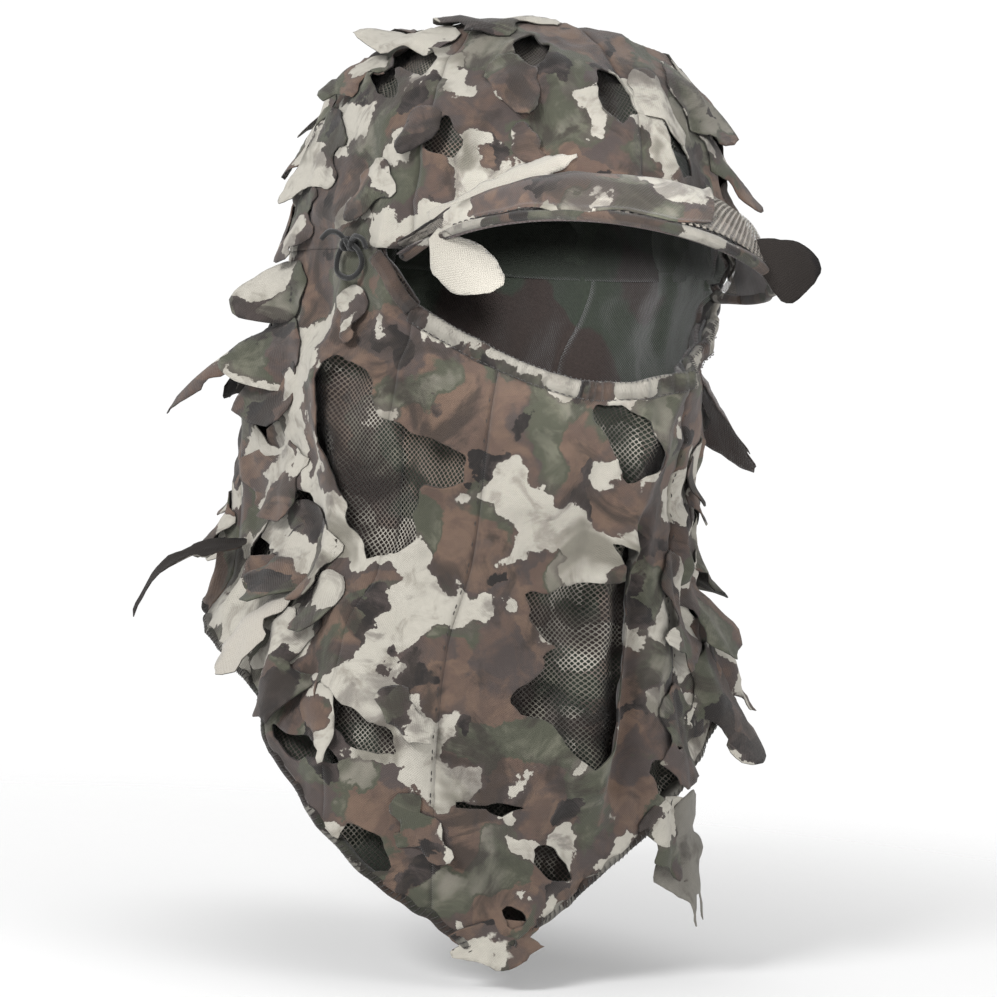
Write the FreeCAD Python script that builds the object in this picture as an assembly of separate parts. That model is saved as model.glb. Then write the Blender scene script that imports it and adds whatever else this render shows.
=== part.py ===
import FreeCAD
import Part

import math
import os

# Leafy camouflage hood: a cap crown with a bill, a face cover with an eye
# opening, and a drape that runs to a point on the chest.
# Millimetres. The origin is the centre of the sweatband plane, +Z is up and
# the wearer faces -Y, so the wearer's left is +X. Angles round the head are
# in degrees from straight ahead, positive towards the wearer's left.

# Crown
CROWN_TOP = 117.0
CROWN_HALF_WIDTH = 100.0
CROWN_HALF_LENGTH = 120.0
CROWN_FULLNESS = 2.7
CROWN_TOP_RISE = 89.3
GORES_PER_SIDE = ("front", "side", "back")
GORE_SPAN = 60.0
CROWN_ARCH = 27.0  # rise of the crown's lower edge behind the bill
CROWN_ARCH_ANGLE = 60.0

# Layers, as depth below the outer face of the leafy shell
SHELL_THICKNESS = 1.6
LINING_DEPTH = 2.2
LINING_THICKNESS = 0.9
BAND_DEPTH = 3.6
BAND_THICKNESS = 1.6
BAND_HEIGHT = 32.0
SEAM_GAP = 0.5
BINDING_HEIGHT = 8.0
BINDING_GAP = 2.0
BINDING_PROUD = 0.6
BINDING_THICKNESS = 4.0
CORNER_PROUD = 2.4
CORNER_THICKNESS = 1.3

# Drape sections: height, half width, reach to the front, reach to the back
DRAPE_SECTIONS = (
    (0.0, CROWN_HALF_WIDTH, CROWN_HALF_LENGTH, CROWN_HALF_LENGTH),
    (-30.0, 98.0, 108.0, 138.0),
    (-70.0, 101.0, 101.0, 162.0),
    (-140.0, 99.0, 91.0, 180.0),
    (-180.0, 118.0, 92.0, 196.0),
    (-240.0, 124.0, 94.0, 200.0),
    (-340.0, 110.0, 90.0, 200.0),
)

# Bottom hem: its drop against the angle away from the tip of the bib
HEM_TIP_ANGLE = -18.0
HEM_DROPS = (
    (0.0, 325.0), (10.0, 312.0), (24.0, 295.0), (40.0, 268.0),
    (56.0, 240.0), (72.0, 211.0), (90.0, 191.0), (115.0, 176.0), (200.0, 168.0),
)

# Eye opening and face cover
TEMPLE_ANGLE = 68.0
FACE_EDGE_ANGLE = 58.0
CHEEK_SEAM_ANGLE = 32.0
EYE_HEM_LOW = -55.0
EYE_HEM_HIGH = -11.0
EYE_HEM_LOW_ANGLE = -4.0
EYE_HEM_HEIGHT = 10.0
SIDE_SEAM_ANGLE = 118.0

# Bill
BRIM_ROOT_ANGLE = 66.0
BRIM_ROOT_GAP = 4.5
BRIM_ROOT_RISE = 34.0
BRIM_ROOT_DROP = 4.0
BRIM_HALF_WIDTH = 88.0
BRIM_CENTRE_Y = -32.0
BRIM_REACH = 146.0
BRIM_EDGE_RISE = 8.5
BRIM_ARCH = 14.0
BRIM_TWIST = 30.0
BRIM_BOARD_THICKNESS = 2.0
BRIM_COVER_THICKNESS = 1.4
BRIM_LOFT = 8.0
BRIM_EDGE_WIDTH = 5.0
BRIM_END = 0.9

# Elastic cord loops at the temples
LOOP_RADIUS = 8.0
CORD_RADIUS = 1.3
KNOT_RADIUS = 3.4

LEAF_THICKNESS = 1.2
GRID_STEP = 8.0


def blend_table(table, column, where):
    """Smooth value of one column of a short table, at a place in column 0."""
    rows = sorted(table)
    where = min(max(where, rows[0][0]), rows[-1][0])
    place = max(index for index, row in enumerate(rows[:-1]) if row[0] <= where)

    def slope(index):
        if index in (0, len(rows) - 1):
            return 0.0
        below, here, above = rows[index - 1:index + 2]
        return (above[column] - below[column]) / (above[0] - below[0])

    low, high = rows[place], rows[place + 1]
    span = high[0] - low[0]
    part = (where - low[0]) / span
    ease = part * part * (3.0 - 2.0 * part)
    start_bend = slope(place) * span * part * (1.0 - part) ** 2
    end_bend = slope(place + 1) * span * part ** 2 * (part - 1.0)
    return low[column] + ease * (high[column] - low[column]) + start_bend + end_bend


def round_head(angle, half_width, front, back, height, depth):
    """Point on one horizontal section, depth millimetres inside it."""
    turn = math.radians(angle)
    reach = front if math.cos(turn) > 0.0 else back
    return FreeCAD.Vector(
        (half_width - depth) * math.sin(turn),
        -(reach - depth) * math.cos(turn),
        height,
    )


def drape_point(angle, height, depth=0.0):
    """Point on the drape at an angle and a height at or below the sweatband."""
    sizes = [blend_table(DRAPE_SECTIONS, column, height) for column in (1, 2, 3)]
    return round_head(angle, *sizes, height, depth)


def crown_point(angle, rise, depth=0.0):
    """Point on the dome; rise runs from 0 at the sweatband to 90 at the top."""
    power = 2.0 / CROWN_FULLNESS
    spread = math.cos(math.radians(rise)) ** power
    height = (CROWN_TOP - depth) * math.sin(math.radians(rise)) ** power
    turn = math.radians(angle)
    return FreeCAD.Vector(
        (CROWN_HALF_WIDTH - depth) * spread * math.sin(turn),
        -(CROWN_HALF_LENGTH - depth) * spread * math.cos(turn),
        height,
    )


def hem_height(angle):
    away = abs((angle - HEM_TIP_ANGLE + 180.0) % 360.0 - 180.0)
    return -blend_table(HEM_DROPS, 1, away)


def eye_hem_height(angle):
    part = min(abs(angle - EYE_HEM_LOW_ANGLE) / TEMPLE_ANGLE, 1.0)
    return EYE_HEM_LOW + (EYE_HEM_HIGH - EYE_HEM_LOW) * part ** 1.6


def spaced(start, end, count):
    return [start + (end - start) * step / (count - 1) for step in range(count)]


def surface(point_at, columns, rows):
    face = Part.BSplineSurface()
    face.interpolate([[point_at(column, row) for row in rows] for column in columns])
    return face


def sheet(outer, inner, columns, rows):
    """Closed solid between two point functions over the same grid."""
    faces = [surface(outer, columns, rows), surface(inner, columns, rows)]
    (u0, u1, v0, v1), (s0, s1, t0, t1) = faces[0].bounds(), faces[1].bounds()
    rims = [
        (faces[0].uIso(u0), faces[1].uIso(s0)),
        (faces[0].uIso(u1), faces[1].uIso(s1)),
        (faces[0].vIso(v0), faces[1].vIso(t0)),
        (faces[0].vIso(v1), faces[1].vIso(t1)),
    ]
    walls = [Part.makeRuledSurface(a.toShape(), b.toShape()) for a, b in rims]
    solid = Part.makeSolid(Part.makeShell([face.toShape() for face in faces] + walls))
    if solid.Volume < 0.0:
        solid.reverse()
    return solid


def grid_count(length):
    return max(5, int(length / GRID_STEP) + 1)


def drape_sheet(start, end, top, bottom, depth, thickness):
    """Sheet of the drape between two angles and two height functions."""
    columns = spaced(start, end, grid_count(abs(end - start) * 1.9))
    tallest = max(top(angle) - bottom(angle) for angle in columns)
    rows = spaced(0.0, 1.0, grid_count(tallest))

    def at(layer):
        def point(angle, part):
            height = top(angle) + (bottom(angle) - top(angle)) * part
            return drape_point(angle, height, layer)
        return point

    return sheet(at(depth), at(depth + thickness), columns, rows)


def crown_base(angle):
    """Height of the crown's lower edge, which arches up behind the bill."""
    return CROWN_ARCH * max(1.0 - (angle / CROWN_ARCH_ANGLE) ** 2, 0.0)


def rise_at(height):
    """Rise on the dome at a height over the sweatband line."""
    return math.degrees(math.asin((height / CROWN_TOP) ** (CROWN_FULLNESS / 2.0)))


def crown_sheet(start, end, high, depth, thickness):
    """Sheet of the dome between two angles, from the crown's lower edge up."""
    columns = spaced(start, end, grid_count(abs(end - start) * 1.9))
    rows = spaced(0.0, 1.0, 19)

    def at(layer):
        def point(angle, part):
            low = rise_at(crown_base(angle))
            return crown_point(angle, low + (high - low) * (1.0 - (1.0 - part) ** 1.6), layer)
        return point

    return sheet(at(depth), at(depth + thickness), columns, rows)


def seam_angle():
    """Half a seam gap, as an angle at the crown's edge."""
    return math.degrees(SEAM_GAP / 2.0 / CROWN_HALF_WIDTH)


def build_crown():
    pieces = {}
    for side, sign in (("left", 1.0), ("right", -1.0)):
        for number, place in enumerate(GORES_PER_SIDE):
            start = number * GORE_SPAN + seam_angle()
            end = (number + 1) * GORE_SPAN - seam_angle()
            pieces[f"crown_{place}_{side}"] = crown_sheet(
                sign * start, sign * end, CROWN_TOP_RISE, 0.0, SHELL_THICKNESS
            )
    halves = [
        crown_sheet(
            centre - 90.0 + seam_angle(), centre + 90.0 - seam_angle(),
            CROWN_TOP_RISE, LINING_DEPTH, LINING_THICKNESS,
        )
        for centre in (0.0, 180.0)
    ]
    pieces["crown_lining"] = Part.makeCompound(halves)
    pieces["sweatband"] = build_sweatband()
    return pieces


def build_sweatband():
    columns = spaced(-178.0, 178.0, 61)
    rows = spaced(0.0, 1.0, 6)

    def at(depth):
        def point(angle, part):
            height = crown_base(angle) + 1.5 + BAND_HEIGHT * part
            return crown_point(angle, rise_at(height), depth + part * 1.2)
        return point

    return sheet(at(BAND_DEPTH), at(BAND_DEPTH + BAND_THICKNESS), columns, rows)


def below_band(angle):
    return -SEAM_GAP


def shell_bottom(angle):
    return hem_height(angle) + BINDING_HEIGHT + BINDING_GAP


def face_top(angle):
    return eye_hem_height(angle) - EYE_HEM_HEIGHT - SEAM_GAP


def build_drape():
    """Hood panels behind the face cover, with their lining and hem."""
    pieces = {}
    gap = seam_angle()
    for side, sign in (("left", 1.0), ("right", -1.0)):
        spans = {
            "side": (FACE_EDGE_ANGLE + gap, SIDE_SEAM_ANGLE - gap),
            "back": (SIDE_SEAM_ANGLE + gap, 180.0 - gap),
        }
        for place, (start, end) in spans.items():
            top = side_top if place == "side" else below_band
            for name, depth, thickness in (
                ("panel", 0.0, SHELL_THICKNESS),
                ("lining", LINING_DEPTH, LINING_THICKNESS),
            ):
                pieces[f"{place}_{name}_{side}"] = drape_sheet(
                    sign * start, sign * end, top, shell_bottom, depth, thickness
                )
        pieces[f"eye_corner_binding_{side}"] = drape_sheet(
            sign * (FACE_EDGE_ANGLE + gap), sign * TEMPLE_ANGLE,
            side_top, lambda angle: side_top(angle) - EYE_HEM_HEIGHT,
            -CORNER_PROUD, CORNER_THICKNESS,
        )
        pieces[f"hem_binding_{side}"] = drape_sheet(
            sign * (FACE_EDGE_ANGLE + gap), sign * (180.0 - gap),
            lambda angle: hem_height(angle) + BINDING_HEIGHT, hem_height,
            -BINDING_PROUD, BINDING_THICKNESS,
        )
    return pieces


def side_top(angle):
    """Side panels drop from the sweatband to the eye opening at the temple."""
    part = (abs(angle) - FACE_EDGE_ANGLE) / (TEMPLE_ANGLE - FACE_EDGE_ANGLE)
    part = min(max(part, 0.0), 1.0)
    corner = eye_hem_height(math.copysign(FACE_EDGE_ANGLE, angle))
    return corner + (below_band(angle) - corner) * part


def build_face_cover():
    pieces = {}
    gap = seam_angle()
    spans = {
        "face_panel_centre": (-CHEEK_SEAM_ANGLE + gap, CHEEK_SEAM_ANGLE - gap),
        "face_panel_left": (CHEEK_SEAM_ANGLE + gap, FACE_EDGE_ANGLE - gap),
        "face_panel_right": (-FACE_EDGE_ANGLE + gap, -CHEEK_SEAM_ANGLE - gap),
    }
    for name, (start, end) in spans.items():
        pieces[name] = drape_sheet(start, end, face_top, shell_bottom, 0.0, SHELL_THICKNESS)
    edge = FACE_EDGE_ANGLE - gap
    pieces["face_lining"] = drape_sheet(
        -edge, edge, face_top, shell_bottom, LINING_DEPTH, LINING_THICKNESS
    )
    pieces["eye_hem"] = drape_sheet(
        -edge, edge, eye_hem_height, lambda angle: eye_hem_height(angle) - EYE_HEM_HEIGHT,
        -BINDING_PROUD, BINDING_THICKNESS,
    )
    pieces["eye_elastic"] = drape_sheet(
        -edge + 1.0, edge - 1.0,
        lambda angle: eye_hem_height(angle) - 2.5,
        lambda angle: eye_hem_height(angle) - EYE_HEM_HEIGHT + 2.5,
        BINDING_THICKNESS - BINDING_PROUD + 0.4, 1.0,
    )
    pieces["bib_hem_binding"] = drape_sheet(
        -edge, edge, lambda angle: hem_height(angle) + BINDING_HEIGHT, hem_height,
        -BINDING_PROUD, BINDING_THICKNESS,
    )
    return pieces


def brim_point(across, out, lift=0.0):
    """Point of the bill: across -1 to 1 from right to left, out 0 at the root to 1."""
    root = round_head(
        across * BRIM_ROOT_ANGLE, CROWN_HALF_WIDTH, CROWN_HALF_LENGTH, CROWN_HALF_LENGTH,
        BRIM_ROOT_RISE * (1.0 - across * across) - BRIM_ROOT_DROP, -BRIM_ROOT_GAP,
    )
    turn = math.radians(across * 84.0)
    edge = FreeCAD.Vector(
        BRIM_HALF_WIDTH * math.sin(turn),
        BRIM_CENTRE_Y - BRIM_REACH * math.cos(turn),
        BRIM_EDGE_RISE - BRIM_ARCH * across ** 2 - BRIM_TWIST * (across - across ** 3),
    )
    bow = 5.0 * math.sin(math.pi * out) * (1.0 - across * across)
    return root + (edge - root) * out + FreeCAD.Vector(0.0, 0.0, bow + lift)


def brim_sheet(low, high, part_of_bill):
    """Sheet of the bill between two heights over its middle surface."""
    columns = spaced(-BRIM_END, BRIM_END, 25)
    rows = spaced(0.0, 1.0, 7)

    def at(height):
        def point(across, part):
            out = part_of_bill(across, part)
            return brim_point(across, out, height(across, out))
        return point

    return sheet(at(high), at(low), columns, rows)


def edge_share(across):
    """Share of the bill's depth that the edge binding covers."""
    depth = (brim_point(across, 1.0) - brim_point(across, 0.0)).Length
    return min(BRIM_EDGE_WIDTH / depth, 0.45)


def build_brim():
    half = BRIM_BOARD_THICKNESS / 2.0
    clear = 0.4
    cover_top = half + clear + BRIM_COVER_THICKNESS

    def puff(across, out):
        """The loose top cover stands off the board towards the front."""
        rise = math.sin(math.pi * min(out, 0.96) ** 1.6)
        return cover_top + BRIM_LOFT * rise * (1.0 - (across / BRIM_END) ** 4)

    def even(height):
        return lambda across, out: height

    def inside_edge(across, part):
        return part * (1.0 - edge_share(across) - 0.02)

    def under_edge(across, part):
        return 1.0 - edge_share(across) * (1.0 - part)

    return {
        "brim_board": brim_sheet(even(-half), even(half), inside_edge),
        "brim_top_cover": brim_sheet(even(half + clear), puff, inside_edge),
        "brim_under_cover": brim_sheet(
            even(-half - clear - BRIM_COVER_THICKNESS), even(-half - clear), inside_edge
        ),
        "brim_edge_binding": brim_sheet(even(-cover_top), even(cover_top + 1.0), under_edge),
    }


def build_temple_loops():
    """Knotted elastic cord that ties each corner of the face cover up."""
    pieces = {}
    for side, sign in (("left", 1.0), ("right", -1.0)):
        place = drape_point(sign * (TEMPLE_ANGLE + 8.0), -6.0, -LOOP_RADIUS * 0.35 - CORD_RADIUS - 2.0)
        loop = Part.makeTorus(LOOP_RADIUS, CORD_RADIUS, place, FreeCAD.Vector(sign, -0.35, 0.0))
        knot = Part.makeSphere(KNOT_RADIUS, place + FreeCAD.Vector(0.0, 0.0, LOOP_RADIUS))
        pieces[f"temple_loop_{side}"] = loop.fuse(knot)
    return pieces


def leaf(root, tip, width, face, cup=4.0, blunt=0.18):
    """Loose leaf of cloth from its sewn root to its tip, cupped away from the hood."""
    along = tip - root
    side = along.cross(face).normalize()
    face = side.cross(along).normalize()
    columns = spaced(-1.0, 1.0, 5)
    rows = spaced(0.0, 1.0, 9)

    def at(offset):
        def point(across, part):
            spread = blunt + (1.0 - blunt) * math.sin(math.pi * min(part * 0.88 + 0.12, 1.0))
            bend = cup * math.sin(math.pi * part * 0.5) - cup * 0.5 * across * across * spread
            return (
                root + along * part
                + side * (across * spread * width / 2.0)
                + face * (bend + offset)
            )
        return point

    return sheet(at(LEAF_THICKNESS), at(0.0), columns, rows)


def drape_leaf(angle, height, swing, length, width, stand=5.0, spread=0.14):
    """Leaf sewn to the drape that hangs down and leans by the swing angle."""
    root = drape_point(angle, height, -stand)
    drop = length * math.cos(math.radians(swing))
    turn = math.degrees(length * math.sin(math.radians(swing)) / 105.0)
    tip = drape_point(angle + turn, height - drop, -stand - spread * length)
    out = drape_point(angle, height, -10.0) - drape_point(angle, height)
    return leaf(root, tip, width, out)


def crown_leaf(angle, rise, turn, length, width, stand=3.0, spread=0.12):
    """Leaf on the dome; turn is its lean away from straight down."""
    root = crown_point(angle, rise, -stand)
    step = math.degrees(length / 105.0)
    tip = crown_point(
        angle + step * math.sin(math.radians(turn)),
        max(2.0, rise - step * math.cos(math.radians(turn)) * 1.1),
        -stand - spread * length,
    )
    out = crown_point(angle, rise, -10.0) - crown_point(angle, rise)
    return leaf(root, tip, width, out)


def build_leaf_groups():
    """Leaves that stay flat on the cloth under them, grouped by panel."""
    crown = (
        (-150.0, 50.0, 20.0, 46.0, 30.0), (-95.0, 62.0, -30.0, 50.0, 32.0),
        (-100.0, 30.0, 10.0, 44.0, 30.0), (-50.0, 48.0, 25.0, 42.0, 28.0),
        (-15.0, 68.0, -20.0, 44.0, 28.0), (38.0, 55.0, 15.0, 46.0, 30.0),
        (82.0, 42.0, -15.0, 46.0, 30.0), (130.0, 55.0, 10.0, 50.0, 32.0),
        (172.0, 36.0, -10.0, 48.0, 32.0), (-140.0, 20.0, 5.0, 36.0, 28.0),
        (105.0, 20.0, 0.0, 36.0, 26.0),
    )
    right = ((-98.0, -46.0, 12.0, 56.0, 34.0), (-70.0, -150.0, -14.0, 52.0, 34.0))
    left = (
        (88.0, -114.0, 8.0, 50.0, 32.0), (70.0, -168.0, -16.0, 46.0, 34.0),
        (104.0, -28.0, 10.0, 48.0, 32.0),
    )
    back = (
        (-152.0, -24.0, 12.0, 54.0, 34.0), (-165.0, -88.0, -12.0, 56.0, 36.0),
        (150.0, -36.0, -10.0, 54.0, 34.0), (138.0, -98.0, 14.0, 54.0, 36.0),
        (174.0, -54.0, 6.0, 52.0, 34.0), (-132.0, -84.0, 8.0, 46.0, 34.0),
    )
    face = ((-12.0, -256.0, -12.0, 48.0, 30.0), (14.0, -180.0, 10.0, 48.0, 28.0))
    return {
        "crown_leaves": Part.makeCompound([crown_leaf(*row) for row in crown]),
        "side_leaves_right": Part.makeCompound([drape_leaf(*row) for row in right]),
        "side_leaves_left": Part.makeCompound([drape_leaf(*row) for row in left]),
        "back_leaves": Part.makeCompound([drape_leaf(*row) for row in back]),
        "face_leaves": Part.makeCompound([drape_leaf(*row) for row in face]),
    }


def build_loose_leaves():
    """The large leaves that swing on their sewn roots."""
    vector = FreeCAD.Vector
    right_edge = brim_point(-0.86, 1.0)
    left_edge = brim_point(0.30, 1.0)
    return {
        "brow_leaf": leaf(
            right_edge + vector(-2.5, 2.0, -7.0), right_edge + vector(5.0, -48.0, -32.0),
            28.0, vector(-1.0, -0.4, 0.0), 3.0,
        ),
        "brim_tip_leaf": leaf(
            left_edge + vector(2.5, -4.0, 8.0), left_edge + vector(25.0, -17.0, 7.0),
            24.0, vector(0.2, -0.2, 1.0), 4.0,
        ),
        "cheek_leaf_left": drape_leaf(80.0, -38.0, -22.0, 58.0, 42.0, 5.0, 0.5),
        "strap_leaf_right": drape_leaf(-116.0, -42.0, -10.0, 50.0, 20.0, 5.0, 0.42),
        "strip_leaf_right": drape_leaf(-88.0, -146.0, -8.0, 62.0, 20.0, 5.0, 0.14),
        "curl_leaf_right": drape_leaf(-112.0, -140.0, -8.0, 58.0, 24.0, 5.0, 0.34),
        "hem_leaf_left": drape_leaf(34.0, -240.0, 4.0, 68.0, 20.0, 5.0, 0.28),
    }


def build_model():
    model = {}
    for pieces in (
        build_crown(),
        build_drape(),
        build_face_cover(),
        build_brim(),
        build_temple_loops(),
        build_leaf_groups(),
        build_loose_leaves(),
    ):
        model.update(pieces)
    return model


os.makedirs("parts", exist_ok=True)
for node, shape in build_model().items():
    for solid in shape.Solids:
        if not solid.isValid() or solid.Volume <= 0.0:
            print("check", node, solid.isValid(), solid.Volume)
    shape.exportStep(f"parts/{node}.step")
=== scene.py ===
import math
import random

import bpy
import numpy as np
from mathutils import Matrix, Vector


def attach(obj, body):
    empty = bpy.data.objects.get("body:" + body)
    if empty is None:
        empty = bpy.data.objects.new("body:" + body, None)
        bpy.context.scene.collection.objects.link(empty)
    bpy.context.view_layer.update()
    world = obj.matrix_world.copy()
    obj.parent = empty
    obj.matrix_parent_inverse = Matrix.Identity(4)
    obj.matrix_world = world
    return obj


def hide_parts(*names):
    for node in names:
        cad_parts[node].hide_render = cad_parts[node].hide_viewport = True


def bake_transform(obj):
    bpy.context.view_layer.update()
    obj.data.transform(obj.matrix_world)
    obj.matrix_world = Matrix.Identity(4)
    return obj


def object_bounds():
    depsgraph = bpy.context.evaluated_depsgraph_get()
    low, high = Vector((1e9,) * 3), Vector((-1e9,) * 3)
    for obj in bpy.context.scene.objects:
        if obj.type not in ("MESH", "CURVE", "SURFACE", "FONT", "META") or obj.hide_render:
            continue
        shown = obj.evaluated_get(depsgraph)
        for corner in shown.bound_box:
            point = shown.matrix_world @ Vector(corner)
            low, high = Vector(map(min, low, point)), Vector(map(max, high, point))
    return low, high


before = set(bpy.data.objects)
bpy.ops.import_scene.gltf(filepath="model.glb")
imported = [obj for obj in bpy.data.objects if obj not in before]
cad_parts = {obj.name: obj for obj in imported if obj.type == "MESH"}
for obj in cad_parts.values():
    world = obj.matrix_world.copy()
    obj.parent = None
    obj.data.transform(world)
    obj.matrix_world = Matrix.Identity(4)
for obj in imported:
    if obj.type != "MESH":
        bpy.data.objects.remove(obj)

CAD_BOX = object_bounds()

# The hood's form, in metres and degrees, as the CAD model has it. Angles run
# round the head from straight ahead, positive towards the wearer's left, and
# "up" is the height below the sweatband or the arc length above it.
CROWN_TOP = 0.117
CROWN_HALF_WIDTH = 0.100
CROWN_HALF_LENGTH = 0.120
CROWN_FULLNESS = 2.7
SECTIONS = (
    (0.0, CROWN_HALF_WIDTH, CROWN_HALF_LENGTH, CROWN_HALF_LENGTH),
    (-0.030, 0.098, 0.108, 0.138),
    (-0.070, 0.101, 0.101, 0.162),
    (-0.140, 0.099, 0.091, 0.180),
    (-0.180, 0.118, 0.092, 0.196),
    (-0.240, 0.124, 0.094, 0.200),
    (-0.340, 0.110, 0.090, 0.200),
)
HEM_TIP_ANGLE = -18.0
HEM_DROPS = (
    (0.0, 0.325), (10.0, 0.312), (24.0, 0.295), (40.0, 0.268), (56.0, 0.240),
    (72.0, 0.211), (90.0, 0.191), (115.0, 0.176), (200.0, 0.168),
)
EYE_HEM_LOW = -0.055
EYE_HEM_HIGH = -0.011
EYE_HEM_LOW_ANGLE = -4.0
TEMPLE_ANGLE = 68.0
FACE_EDGE_ANGLE = 58.0
CHEEK_SEAM_ANGLE = 32.0
SIDE_SEAM_ANGLE = 118.0
GORE_SPAN = 60.0
CROWN_ARCH = 0.027
CROWN_ARCH_ANGLE = 60.0
MEAN_RADIUS = 0.105

# At the temples the hood's cloth gives way to the face cover's: the other body
# and the blend's start and end, for pieces on the hood and on the face cover.
TEMPLE_FRONT = (0.0, -0.070, -0.12)
TEMPLE_BACK = (0.0, -0.010, -0.12)
HOOD_BLEND = ("face_cover", TEMPLE_BACK, TEMPLE_FRONT)
COVER_BLEND = ("hood", TEMPLE_FRONT, TEMPLE_BACK)

# The bill. Its root is sewn to the crown, so its ends stay with the hood.
BRIM_ROOT_ANGLE = 66.0
BRIM_EDGE_ANGLE = 84.0
BRIM_ROOT_GAP = 0.0045
BRIM_ROOT_RISE = 0.034
BRIM_ROOT_DROP = 0.004
BRIM_HALF_WIDTH = 0.088
BRIM_CENTRE_Y = -0.032
BRIM_REACH = 0.146
BRIM_EDGE_RISE = 0.0085
BRIM_ARCH = 0.014
BRIM_TWIST = 0.030
BRIM_BOW = 0.005
BRIM_LOFT = 0.008
BRIM_MEAN_HALF = 0.10
BRIM_MEAN_DEPTH = 0.055
BRIM_TAPE_AT = 0.975
BRIM_SIDE = 0.95
BRIM_COLUMNS = np.linspace(-BRIM_SIDE, BRIM_SIDE, 121)
BRIM_BLEND = ("hood", (0.0, -0.094, 0.0), (0.0, -0.054, 0.0))

# Thickness of each cloth, and the grids that they are cut on.
CLOTH = 0.0007
LEAF_CLOTH = 0.0005
CROWN_LINING = 0.0016
DRAPE_LINING = 0.0022
GRID = 0.0024
LEAF_GRID = 0.0026
LINING_GRID = 0.004

# How far the drape's mesh reaches behind the sweatband and cloth reaches into its hem,
# how far from the crown's top the relief fades out, and what a sheet's box has to spare.
LINING_CAUGHT = 0.007
TUCKED_IN = 0.004
CROWN_PINCH = 0.012
SHEET_SPARE = 1.02

# Stitches: spacing, length, radius of the thread and, where they slant, by how much.
SEAM_STITCH = (0.0031, 0.0022, 0.00026)
HEM_STITCH = (0.0030, 0.0017, 0.00024, 0.0017)
EYE_HEM_STITCH = (0.0034, 0.0022, 0.00026)
EYE_EDGE_STITCH = (0.0026, 0.0015, 0.00024, 0.0012)
BRIM_STITCH = (0.0036, 0.0026, 0.00030)
TAPE_STITCH = (0.0034, 0.0024, 0.00028)


# ---------- numbers

def unit(vectors):
    length = np.linalg.norm(vectors, axis=-1, keepdims=True)
    return vectors / np.maximum(length, 1e-12)


def bell(gap, width):
    """1 where gap is 0, falling smoothly to 0 within a few widths."""
    return np.exp(-((gap / width) ** 2))


def unroll(angle):
    """Distance round the head in metres, on the hood's mean radius."""
    return np.radians(angle) * MEAN_RADIUS


def travelled(line):
    """Distance along a line of points, from its start to each of them."""
    return np.concatenate([[0.0], np.cumsum(np.linalg.norm(np.diff(line, axis=0), axis=1))])


def steps(low, high, size):
    return np.linspace(low, high, max(3, int(math.ceil((high - low) / size)) + 1))


def smooth_table(table, column, where):
    """Smooth values of one column of a short table, at places in column 0."""
    rows = np.array(sorted(table))
    where = np.clip(where, rows[0, 0], rows[-1, 0])
    slopes = np.zeros(len(rows))
    slopes[1:-1] = (rows[2:, column] - rows[:-2, column]) / (rows[2:, 0] - rows[:-2, 0])
    place = np.clip(np.searchsorted(rows[:, 0], where, side="right") - 1, 0, len(rows) - 2)
    span = rows[place + 1, 0] - rows[place, 0]
    part = (where - rows[place, 0]) / span
    ease = part * part * (3.0 - 2.0 * part)
    start_bend = slopes[place] * span * part * (1.0 - part) ** 2
    end_bend = slopes[place + 1] * span * part ** 2 * (part - 1.0)
    low, high = rows[place, column], rows[place + 1, column]
    return low + ease * (high - low) + start_bend + end_bend


def lattice(cells, seed):
    """A repeatable random number from -1 to 1 for each whole-number cell."""
    x, y, z = (cells[..., axis].astype(np.int64) for axis in range(3))
    mixed = (x * 73856093) ^ (y * 19349663) ^ (z * 83492791) ^ (seed * 265443576)
    mixed = ((mixed ^ (mixed >> 13)) * 1274126177) & 0x7FFFFFFF
    return ((mixed ^ (mixed >> 15)) & 0xFFFF) / 32767.5 - 1.0


def noise(points, size, seed):
    """Smooth noise from -1 to 1 with bumps of the given size."""
    scaled = np.asarray(points, float) / size + 100.0
    cells = np.floor(scaled)
    part = scaled - cells
    part = part * part * part * (part * (part * 6.0 - 15.0) + 10.0)
    total = 0.0
    for corner in np.ndindex(2, 2, 2):
        weight = 1.0
        for axis, bit in enumerate(corner):
            weight = weight * (part[..., axis] if bit else 1.0 - part[..., axis])
        total = total + weight * lattice(cells + np.array(corner), seed)
    return total


def flat_noise(a, b, size, seed):
    return noise(np.stack([a, b, np.zeros_like(a)], -1), size, seed)


# ---------- the hood's form

def crown_arc_table():
    """Arc length up the side of the dome against its rise angle."""
    rise = np.linspace(0.0, 90.0, 721)
    power = 2.0 / CROWN_FULLNESS
    width = CROWN_HALF_WIDTH * np.cos(np.radians(rise)) ** power
    height = CROWN_TOP * np.sin(np.radians(rise)) ** power
    steps = np.hypot(np.diff(width), np.diff(height))
    return rise, np.concatenate([[0.0], np.cumsum(steps)])


ARC_RISE, ARC_LENGTH = crown_arc_table()
CROWN_ARC = float(ARC_LENGTH[-1])


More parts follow.
